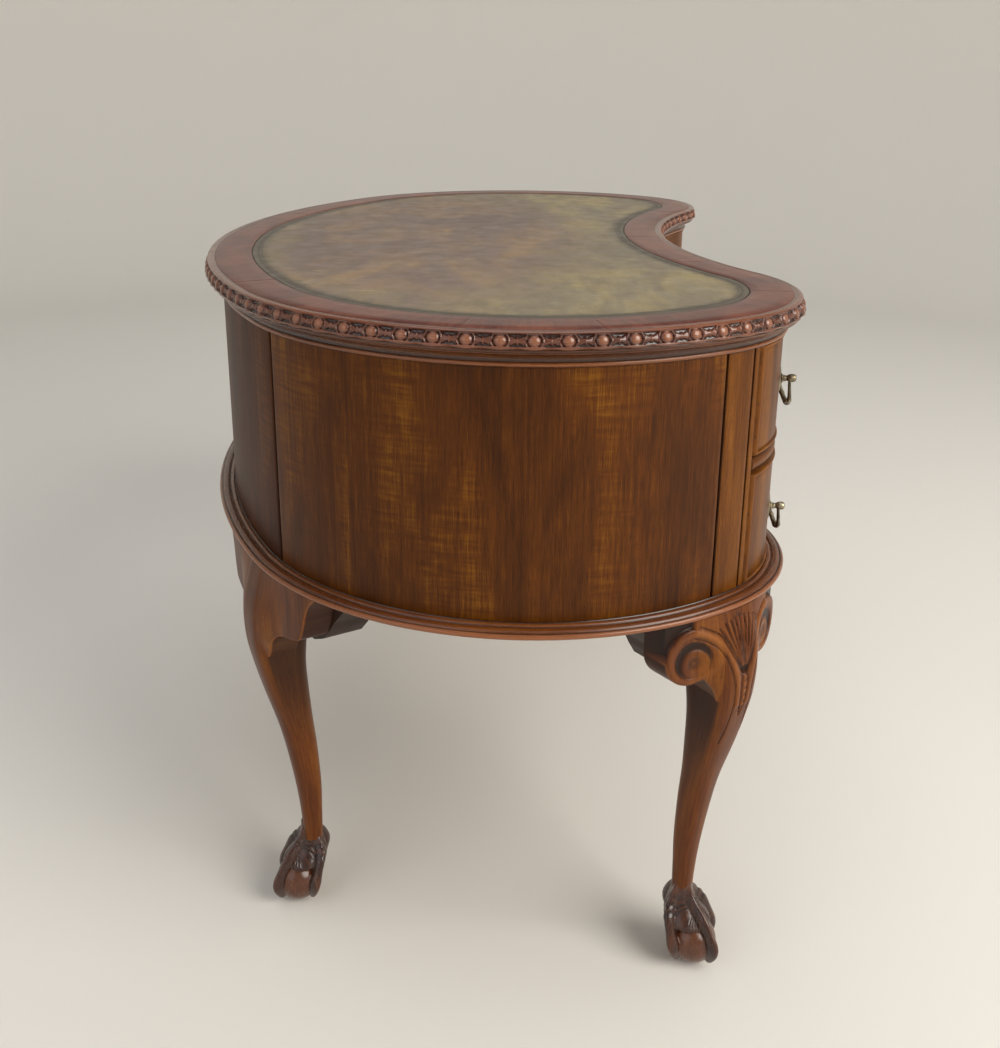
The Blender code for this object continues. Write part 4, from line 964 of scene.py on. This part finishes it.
# the web over the ball: shares of the size up and out
webRows = [(3.5, 0.38), (3.0, 0.42), (2.6, 0.55), (2.25, 0.74), (2.0, 0.88), (1.84, 0.93),
           (1.74, 0.92)]


def footLean(up):
    return foot["setback"] + foot["lean"] * float(smoothStep(0.9, 2.7, up))


def tube(work, loops):
    # a closed skin through loops of places
    rings = [[work.verts.new(place) for place in loop] for loop in loops]
    for first, second in zip(rings, rings[1:]):
        for step in range(len(first)):
            after = (step + 1) % len(first)
            work.faces.new((first[step], first[after], second[after], second[step]))
    work.faces.new(rings[0][::-1])
    work.faces.new(rings[-1])


def makeFoot():
    s = foot
    work = bmesh.new()
    bmesh.ops.create_uvsphere(work, u_segments=48, v_segments=32, radius=s["ball"])
    bmesh.ops.translate(work, verts=work.verts, vec=(-s["setback"], 0, s["ball"]))
    around = np.linspace(0, 2 * pi, 21)[:-1]
    for turn in np.radians([0, 90, 180, 270]):
        ahead, sideways = Vector((cos(turn), sin(turn), 0)), Vector((-sin(turn), cos(turn), 0))
        spots = [(Vector((-footLean(up), 0, up * s["size"])) + ahead * out * s["size"], thick * mm)
                 for out, up, thick in curveThrough(toeRows, 5)]
        loops = []
        for index, (centre, thick) in enumerate(spots):
            before, after = spots[max(0, index - 1)][0], spots[min(len(spots) - 1, index + 1)][0]
            over = sideways.cross((after - before).normalized())
            ridge = [1 + 0.22 * max(0, -sin(a)) ** 5 for a in around]
            loops.append([centre + sideways * cos(a) * thick * 0.84 + over * sin(a) * thick * r
                          for a, r in zip(around, ridge)])
        tube(work, loops)
    size = s["size"]
    tube(work, [[(-footLean(up) + cos(a) * out * size, sin(a) * out * size, up * size)
                 for a in np.linspace(0, 2 * pi, 41)[:-1]] for up, out in webRows])
    bmesh.ops.recalc_face_normals(work, faces=work.faces)
    mesh = bpy.data.meshes.new("claw_and_ball")
    work.to_mesh(mesh)
    work.free()
    item = bpy.data.objects.new("claw_and_ball", mesh)
    bpy.context.scene.collection.objects.link(item)
    remesh = item.modifiers.new("skin", "REMESH")
    remesh.mode = "VOXEL"
    remesh.voxel_size = s["voxel"]
    soften = item.modifiers.new("soften", "SMOOTH")
    soften.factor = 0.5
    soften.iterations = 2
    graph = bpy.context.evaluated_depsgraph_get()
    skin = bpy.data.meshes.new_from_object(item.evaluated_get(graph))
    bpy.data.objects.remove(item, do_unlink=True)
    points = np.zeros(len(skin.vertices) * 3)
    skin.vertices.foreach_get("co", points)
    points = points.reshape(-1, 3)
    points[:, 2] = np.maximum(points[:, 2], 0.1 * mm)
    # flutes down the web between the toes
    away = points - np.array([-s["setback"], 0, s["ball"]])
    turn = np.degrees(np.arctan2(away[:, 1], away[:, 0]))
    offToe = np.abs((turn + 45) % 90 - 45)
    up = points[:, 2] / s["size"]
    web = smoothStep(1.70, 1.95, up) * smoothStep(3.2, 2.5, up) * smoothStep(16, 24, offToe)
    flutes = np.cos(np.radians(turn) * s["flutes"])
    distance = np.linalg.norm(away, axis=1)
    points += (away / distance[:, None]) * (flutes * web)[:, None] * s["fluteDepth"] * mm
    # the toes and web hold dark wax, with painted shade in the flutes; the ball is rubbed, and the
    # toes' ridges are rubbed and carry a painted highlight
    onBall = distance - s["ball"] < 0.7 * mm
    toeRidge = smoothStep(7, 0, offToe) * smoothStep(6, 13, (distance - s["ball"]) / mm)
    relief = np.clip(0.16 + 0.34 * toeRidge + 0.12 * flutes * web, 0.03, 0.7)
    relief = np.where(up > 2.6, relief + (0.5 - relief) * smoothStep(2.6, 3.3, up), relief)
    relief = np.where(onBall, 0.74, relief)
    skin.vertices.foreach_set("co", points.ravel())
    value = skin.attributes.new("relief", "FLOAT", "POINT")
    value.data.foreach_set("value", relief)
    grain = skin.attributes.new("grain", "FLOAT_VECTOR", "POINT")
    turned = np.stack([np.radians(turn) * leg["girth"], points[:, 2], away[:, 0]], axis=-1)
    grain.data.foreach_set("vector", turned.ravel())
    skin.shade_smooth()
    return skin


footSkin = makeFoot()
for where, (mark, side, tuck) in legPlaces.items():
    carved = where.startswith("front")
    nodeName = "leg_" + where
    buildPiece("cabriole_" + where, [makeShaft(where, carved)], legWalnut, node=nodeName, sharp=80)
    middle, normal, sideways = legFrame(where)
    item = bpy.data.objects.new("claw_foot_" + where, footSkin.copy())
    # the rear toes stand turned a little towards the ends of the desk
    swing = Matrix.Rotation(0.0 if carved else radians(-foot["rearTurn"] * side), 4, "Z")
    pivot = Matrix.Translation((foot["setback"], 0, 0))
    turn = Matrix(((normal[0], sideways[0], 0), (normal[1], sideways[1], 0), (0, 0, 1))).to_4x4()
    item.data.transform(Matrix.Translation((middle[0], middle[1], 0)) @ turn
                        @ pivot.inverted() @ swing @ pivot)
    placePiece(item, clawWalnut, "desk", nodeName)
print("legs made")

# Ears: the knee's face runs out onto them, and a block stands behind each pair
ear = {"lip": 1.6 * mm, "meet": 0.016, "outer": 0.055, "thick": 0.032, "top": leg["top"] - gap,
       "blockInner": -0.019, "blockDrop": 0.075, "blockOver": 0.006, "start": 0.0303,
       "front": {"length": 0.058, "round": 2.2, "crease": 0.060, "step": 1.0, "rows": 96},
       "rear": {"length": 0.095, "round": 1.5, "crease": 0.070, "step": 1.7, "rows": 44}}
# lower edge from inside the knee round the arch to the outer end, in millimetres
archLine = [(16, 349), (21, 350), (24.5, 353), (26, 362), (28, 372), (31.5, 381), (37, 390.5)]
rearLine = [(16, 349), (21, 350), (24.5, 353), (27.5, 360), (32.6, 368), (39.9, 381), (47, 391),
            (57, 397.6), (70, 401.5), (80, 403.5), (92, 407), (97, 411), (99.7, 417), (102, 424),
            (104.4, 432), (108, 445), (112.9, 455), (118, 461), (121.5, 464.2), (124.8, 467.4)]
blockRows = [(1, 1), (0.98, 0.80), (0.82, 0.45), (0.76, 0.28), (0.68, 0.10), (0.55, 0)]


def earLine(kind):
    if kind == "rear":
        return curveThrough(rearLine, 4)
    turns = np.radians(np.arange(-118, 1, 6))
    scroll = [(volute["y"] + volute["radius"] * cos(t), volute["z"] + volute["radius"] * sin(t))
              for t in turns]
    return np.vstack([curveThrough(archLine + scroll[:1], 4), scroll[1:]])


def beside(where, sideways, reach):
    # places on the line at a reach, beside a leg, found by their distance sideways of it
    mark, side = legPlaces[where][:2]
    middle, across = legFrame(where)[::2]
    marks = mark * side + np.linspace(-0.25, 0.25, 1001)
    points, normals = onPlan(marks)
    line = points + normals * reach
    away = (line - middle) @ across
    order = np.argsort(away)
    return np.stack([np.interp(sideways, away[order], line[order][:, axis]) for axis in (0, 1)],
                    axis=-1)


def makeEar(where, hand, kind):
    s = ear[kind]
    line = earLine(kind)
    run = runAlong(line)
    spots = np.linspace(0, run[-1], int(run[-1] / s["step"]))
    across = np.interp(spots, run, line[:, 0])[:, None] * mm
    low = np.interp(spots, run, line[:, 1])[:, None] * mm
    share = np.linspace(0, 1, s["rows"])[None, :] ** 1.3
    z = low + (ear["top"] - low) * share
    y = np.broadcast_to(across, z.shape)
    middle, normal, sideways = legFrame(where)
    outer = beside(where, y * hand, ear["outer"])
    plane = (outer - middle) @ normal
    # leaves the knee's face close to its middle and settles on the plan's line at the crease
    meet = np.full(y.shape, ear["meet"])
    atMeet = (beside(where, meet * hand, ear["outer"]) - middle) @ normal
    crease = s["crease"] + 0.25 * (z - 0.430)
    flow = 1 - smoothStep(ear["meet"] - 0.004, crease, y)
    flowing = plane + (legFront(meet, z) - 0.4 * mm - atMeet) * flow
    own = legFront(y, z) - 0.5 * mm
    rise = smoothStep(0.350, 0.388, z)
    face = np.where(y < ear["meet"] + 0.5 * mm, own,
                    own * (1 - rise) + np.maximum(flowing, own) * rise)
    edge = lineDistance(y / mm, z / mm, line)
    # the face turns over its lower edge in a small round
    inside = np.clip(s["round"] - edge, 0, None)
    lift = np.sqrt(np.clip(s["round"] ** 2 - inside ** 2, 0, None)) - s["round"]
    # lighter along the lower edge: rubbed, with a painted highlight on the round
    relief = 0.5 + 0.42 * np.exp(-(edge / 0.9) ** 2)
    if kind == "front":
        carving = kneeRelief(y, z)
        lift = lift + carving
        # the carving's hollows go dark and its raised parts light: wax and wear, with painted shade
        # in the hollows
        relief = np.clip(relief + np.maximum(carving, -2.2) * 0.28, 0, 1)
    front = middle + (face + lift * mm)[..., None] * normal + (y * hand)[..., None] * sideways
    back = beside(where, y * hand, ear["outer"] - ear["thick"])
    # first a row just behind the face's lower edge, where the underside starts; the underside and
    # the back are painted dark, as shade
    under = front[:, :1] - ear["lip"] * normal
    points = np.concatenate([lifted(under, z[:, :1]), lifted(front, z),
                             lifted(back[:, ::-1], z[:, ::-1])], axis=1)
    relief = np.concatenate([np.full((len(y), 1), 0.14), relief, np.full(y.shape, 0.14)], axis=1)
    grain = grainAt(y, z, hand * 0.3)
    return gridPart(points, np.concatenate([grain[:, :1], foldedBack(grain)], axis=1), relief)


def makeBlock(where, kind):
    low = ear["top"] - ear["blockDrop"]
    end = ear["start"] + ear[kind]["length"] + ear["blockOver"]
    tall = ear["top"] - low
    line = np.array([(across * end, low + up * tall) for across, up in blockRows])[::-1]
    heights = low + tall * np.linspace(0, 1, 40) ** 1.2
    outer = np.interp(heights, line[:, 1], line[:, 0])
    y = outer[:, None] * np.linspace(-1, 1, 40)
    z = np.broadcast_to(heights[:, None], y.shape)
    front = beside(where, y, ear["outer"] - ear["thick"] + gap)
    back = beside(where, y, ear["blockInner"])
    points = np.concatenate([lifted(front, z), lifted(back, z)[:, ::-1]], axis=1)
    # painted dark all over: painted shade for the blocks, which stand in shadow behind the ears
    return gridPart(points, foldedBack(grainAt(z, y, 0.9)), np.full(points.shape[:2], 0.02))


for where in legPlaces:
    kind = where.split("_")[0]
    for hand, handName in ((1, "a"), (-1, "b")):
        buildPiece("ear_" + where + "_" + handName, [makeEar(where, hand, kind)], legWalnut,
                   node="leg_bracket_" + where, sharp=70)
    buildPiece("corner_block_" + where, [makeBlock(where, kind)], legWalnut,
               node="leg_bracket_" + where)
print("ears made")

# Brass handles: cast plate with a shaped outline, a raised rim and a domed field, two posts and a
# swelling bail
handle = {"width": 88.0, "height": 38.0, "spacing": 64.0, "pinReach": 11.5, "postRadius": 4.6,
          "bailWidth": 47.0, "bailDrop": 38.0, "bailBow": 6.0, "stile": 0.0215, "centreShare": 0.53}


def makeBrassMaterial():
    # cast brass, tarnished silvery grey-gold, dark in its hollows
    material, tree, shader = newMaterial("brass_cast_antiqued")
    span, mix = shortForms(tree)[1:3]
    where = addNode(tree, "TexCoord").outputs["Object"]
    tarnish = addNode(tree, "TexNoise", {"Vector": where, "Scale": 1 / (15 * mm), "Detail": 4.0,
                                         "Roughness": 0.6}).outputs["Fac"]
    ramp = addNode(tree, "ValToRGB", {"Fac": tarnish}, stops=[
        (0.36, "#6e6452"), (0.5, "#968b74"), (0.64, "#b6ad97")]).outputs[0]
    relief = addNode(tree, "Attribute", attribute_name="relief").outputs["Fac"]
    colour = mix(span(relief, 0.5, 0.1, 0.95), ramp, srgb("#17120c"))
    pits = addNode(tree, "TexNoise", {"Vector": where, "Scale": 1 / (1.2 * mm), "Detail": 3.0})
    bump = addNode(tree, "Bump", {"Height": pits.outputs["Fac"], "Strength": 0.2,
                                  "Distance": 0.06 * mm})
    setInputs(tree, shader, {
        "Base Color": colour, "Metallic": 1.0, "Roughness": span(tarnish, 0.3, 0.7, 0.24, 0.46),
        "Normal": bump.outputs[0]})
    return material


brass = makeBrassMaterial()
plateShares = [(0, -0.72), (0.16, -1), (0.34, -0.78), (0.50, -0.66), (0.72, -0.84), (0.92, -0.52),
               (1, 0), (0.92, 0.48), (0.74, 0.74), (0.52, 0.56), (0.30, 0.80), (0.12, 1)]
# a post from its rosette to the hollow in its ball, as (radius, distance out) in millimetres
postLine = [(4.6, 0.2), (5.0, 1.3), (6.1, 2.2), (5.2, 3.3), (3.3, 4.3), (2.8, 5.6), (3.3, 6.8),
            (4.3, 8.6), (4.6, 11.0), (4.5, 13.2), (3.8, 15.0), (2.8, 15.7), (2.1, 15.3),
            (1.7, 14.2), (0.9, 13.7), (0.05, 13.6)]


def handleFrame(x):
    spot = np.array([x, float(frontY(x, railFace))])
    middle = np.array([lobeCentre[0] * np.sign(x), lobeCentre[1]])
    turn = lobeCentre[0] + (lobeRadius + railFace) * cos(arcs[2][3] - arcs[2][4])
    outward = spot - middle if abs(x) > turn else waistCentre - spot
    outward = outward / np.linalg.norm(outward)
    return spot, outward, np.array([-outward[1], outward[0]])


def castPart(points, relief):
    # brass has no grain
    return gridPart(points, np.zeros((points.shape[0], points.shape[1] + 1, 3)), relief)


def makePlate(x, z):
    # rows shrink from the outline to the plate's middle, with a raised rim and a domed field
    right = np.array(plateShares)
    loop = np.vstack([right, np.stack([-right[1:, 0], right[1:, 1]], axis=-1)[::-1]])
    closed = curveThrough(np.vstack([loop, loop[:1]]), 4)[:-1]
    half = np.array([handle["width"] / 2, handle["height"] / 2])
    outline = closed * half
    steps = np.array([0.0, 0.5, 1.0, 1.6, 2.2, 2.8, 3.4, 4.4])
    rings, rises = [], []
    for step in steps:
        rings.append(outline * (1 - step / half))
        rises.append(0.45 + 0.85 * np.exp(-((step - 1.3) / 0.7) ** 2) if step > 0 else 0.0)
    for share in np.linspace(0.72, 0.04, 9):
        rings.append(rings[len(steps) - 1] * share)
        rises.append(0.45 + 0.9 * (1 - share) ** 1.5)
    spot, outward, sideways = handleFrame(x)
    points, relief = [], []
    back = [(ring * s, 0.0) for ring, s in ((outline, 0.04), (outline, 1.0))]
    for ring, rise in back + list(zip(rings, rises)):
        px = x + ring[:, 0] * mm * sideways[0]
        reach = railFace + gap + rise * mm
        y = frontY(px, np.full(px.shape, reach))
        points.append(np.stack([px, y, z + ring[:, 1] * mm], axis=-1))
        relief.append(np.full(len(px), np.clip(0.3 + rise * 0.55, 0, 1)))
    parts = [castPart(np.array(points), np.array(relief))]
    profile = curveThrough(postLine, 3)
    turns = np.linspace(0, 2 * pi, 25)[:-1]
    for end in (-1, 1):
        base = spot + sideways * end * handle["spacing"] / 2 * mm
        fall = float((spot - np.array([base[0], float(frontY(base[0], railFace))])) @ outward)
        out = profile[:, 1] * mm
        out = np.where(profile[:, 1] < 4, out - fall, out)
        circle = profile[:, 0][:, None] * mm
        side = circle * np.cos(turns)
        flat = base + out[:, None, None] * outward + side[..., None] * sideways
        post = lifted(flat, z + circle * np.sin(turns))
        shade = np.where(profile[:, 0] < 3.0, 0.12, 0.62)[:, None] + np.zeros(post.shape[:2])
        parts.append(castPart(post, shade))
    return parts


def makeBail(x, z):
    # a bar that swells to its middle and bows a little outwards, hung between the two posts
    spot, outward, sideways = handleFrame(x)
    half = handle["bailWidth"] / 2
    pinEnd = handle["spacing"] / 2 - handle["postRadius"] + 3.4
    path = [(pinEnd, 0, 1.4), (half + 1.2, 0, 1.4), (half + 0.6, 0.02, 1.5)]
    for step in range(1, 48):
        angle = pi * step / 48
        swell = 1.6 + 1.3 * sin(angle) ** 1.6
        # two thin collars, and a knop in the middle
        for at, rise, wide in ((0.28, 0.7, 0.018), (0.72, 0.7, 0.018), (0.5, 0.8, 0.05)):
            swell += rise * np.exp(-((step / 48 - at) / wide) ** 2)
        path.append((half * cos(angle), -handle["bailDrop"] * sin(angle) ** 0.8 * 0.965, swell))
    path += [(-half - 0.6, 0.02, 1.5), (-half - 1.2, 0, 1.4), (-pinEnd, 0, 1.4)]
    path = np.array(path)
    run = np.gradient(path[:, :2], axis=0)
    run /= np.linalg.norm(run, axis=1)[:, None]
    side = np.stack([-run[:, 1], run[:, 0]], axis=-1)
    turns = np.linspace(0, 2 * pi, 17)[:-1]
    thick = path[:, 2][:, None]
    across = path[:, :1] + side[:, :1] * thick * np.cos(turns)
    down = path[:, 1:2] + side[:, 1:2] * thick * np.cos(turns)
    bow = handle["bailBow"] * np.abs(path[:, 1:2] / handle["bailDrop"]) ** 1.6
    out = thick * np.sin(turns) + handle["pinReach"] + bow
    flat = spot + across[..., None] * mm * sideways + out[..., None] * mm * outward
    points = lifted(flat, z + down * mm)
    shade = np.clip(0.20 + 0.10 * (thick - 1.4), 0.2, 0.5) + np.zeros(points.shape[:2])
    return castPart(points, shade)


drawerMiddle = (base["kneehole"] + handle["stile"] + walls["openingX"]) / 2
handleX = {"upper": drawerMiddle, "lower": drawerMiddle,
           "centre": base["kneehole"] * handle["centreShare"]}
for row, side in [(row, side) for row in handleX for side in ("right", "left")]:
    name = row + "_" + side
    x = handleX[row] * (1 if side == "right" else -1)
    z = sum(layer("handle_plate_" + name)) / 2
    body = "drawer_centre" if row == "centre" else "drawer_" + name
    buildPiece("backplate_" + name, makePlate(x, z), brass, body=body, node="handle_plate_" + name,
               sharp=60)
    buildPiece("swing_bail_" + name, [makeBail(x, z)], brass, body="bail_" + name,
               node="bail_" + name, sharp=60)
print("handles made")

# Pieces carried over from the frame: each gets its wood and a small softened arris
carried = {walnutUpright: ["kneehole_side_right", "kneehole_side_left"],
           walnutLevel: ["kneehole_soffit", "top_board"],
           pineCarcase: ["carcase_top", "pedestal_base_right", "pedestal_base_left",
                         "runner_frame_right", "runner_frame_left"],
           oakLining: [name + part for name in drawerNames for part in ("_box", "_bottom")]}
for material, names in carried.items():
    for name in names:
        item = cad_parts[name]
        item.data.materials.clear()
        item.data.materials.append(material)
        arris = item.modifiers.new("arris", "BEVEL")
        arris.width = 0.5 * mm
        arris.segments = 2
        arris.limit_method = "ANGLE"
        arris.angle_limit = radians(50)

# Floor, light and camera
studio = {"floor": "#e4e1db", "world": "#dfe3e8", "worldStrength": 0.25, "wallAt": 5.2,
          "bend": 1.6, "wallHigh": 6.0, "middle": 0.5, "sides": 96}
# each light's name, place, aim, width, power and colour
lights = [("window_key", (-2.2, -2.8, 2.6), (0, 0, 0.5), 3.0, 150, "#fffaf2"),
          ("room_fill", (-2.8, 2.4, 2.2), (0, 0, 0.4), 3.5, 24, "#eef3ff"),
          ("room_top", (0, 0, 4.6), (0, 0, 0), 4.0, 60, "#ffffff")]


def makeBackdrop(s):
    # a round floor that bends up into a wall, well away from the desk
    line = [(s["middle"], 0)] + [(s["wallAt"] + s["bend"] * (sin(t) - 1), s["bend"] * (1 - cos(t)))
                         for t in np.linspace(0, pi / 2, 17)] + [(s["wallAt"], s["wallHigh"])]
    count = s["sides"]
    points = [(r * cos(t), r * sin(t), z) for r, z in line
              for t in np.linspace(0, 2 * pi, count, endpoint=False)]
    faces = [list(range(count))]
    for row in range(len(line) - 1):
        for step in range(count):
            after = (step + 1) % count
            faces.append([row * count + step, (row + 1) * count + step, (row + 1) * count + after,
                          row * count + after])
    mesh = bpy.data.meshes.new("studio_floor")
    mesh.from_pydata(points, [], faces)
    mesh.shade_smooth()
    item = bpy.data.objects.new("studio_floor", mesh)
    bpy.context.scene.collection.objects.link(item)
    # matt paper, with hardly any shine
    material, tree, shader = newMaterial("studio_floor_matt")
    setInputs(tree, shader, {"Base Color": srgb(s["floor"]), "Roughness": 0.9,
                             "Specular IOR Level": 0.2})
    mesh.materials.append(material)


def makeWorld():
    world = bpy.data.worlds.new("studio")
    bpy.context.scene.world = world
    world.use_nodes = True
    tree = world.node_tree
    setInputs(tree, tree.nodes["Background"], {"Color": srgb(studio["world"]),
                                               "Strength": studio["worldStrength"]})


def addAreaLight(name, place, aim, size, power, colour):
    light = bpy.data.lights.new(name, "AREA")
    light.shape = "DISK"
    light.size = size
    light.energy = power
    light.color = srgb(colour)[:3]
    item = bpy.data.objects.new(name, light)
    item.location = place
    item.rotation_euler = (Vector(aim) - Vector(place)).to_track_quat("-Z", "Y").to_euler()
    bpy.context.scene.collection.objects.link(item)


def makeCamera():
    # the photographed view: from the left end, a little above the top, looking along +X
    lens = {"focal": 1084.29, "centreX": 500, "centreY": 405, "pitch": 0.2952, "roll": 0.0089,
            "yaw": 0.0199, "place": (-1.5627, -0.0614, 0.9928)}
    width, height, film = 1000, 1048, 36
    forward = Vector((cos(lens["yaw"]) * cos(lens["pitch"]), sin(lens["yaw"]) * cos(lens["pitch"]),
                      -sin(lens["pitch"])))
    right = Vector((sin(lens["yaw"]), -cos(lens["yaw"]), 0))
    up = right.cross(forward)
    right, up = (cos(lens["roll"]) * right + sin(lens["roll"]) * up,
                 cos(lens["roll"]) * up - sin(lens["roll"]) * right)
    data = bpy.data.cameras.new("photo_view")
    data.sensor_width = film
    data.sensor_fit = "AUTO"
    data.lens = film * lens["focal"] / height
    data.shift_x = (width / 2 - lens["centreX"]) / height
    data.shift_y = (lens["centreY"] - height / 2) / height
    data.clip_start = 0.05
    camera = bpy.data.objects.new("photo_view", data)
    camera.matrix_world = Matrix.Translation(lens["place"]) @ Matrix(
        (right, up, -forward)).transposed().to_4x4()
    bpy.context.scene.collection.objects.link(camera)
    bpy.context.scene.camera = camera


makeBackdrop(studio)
makeWorld()
for light in lights:
    addAreaLight(*light)
makeCamera()
bpy.context.scene.view_settings.view_transform = "Standard"
print("stage set")
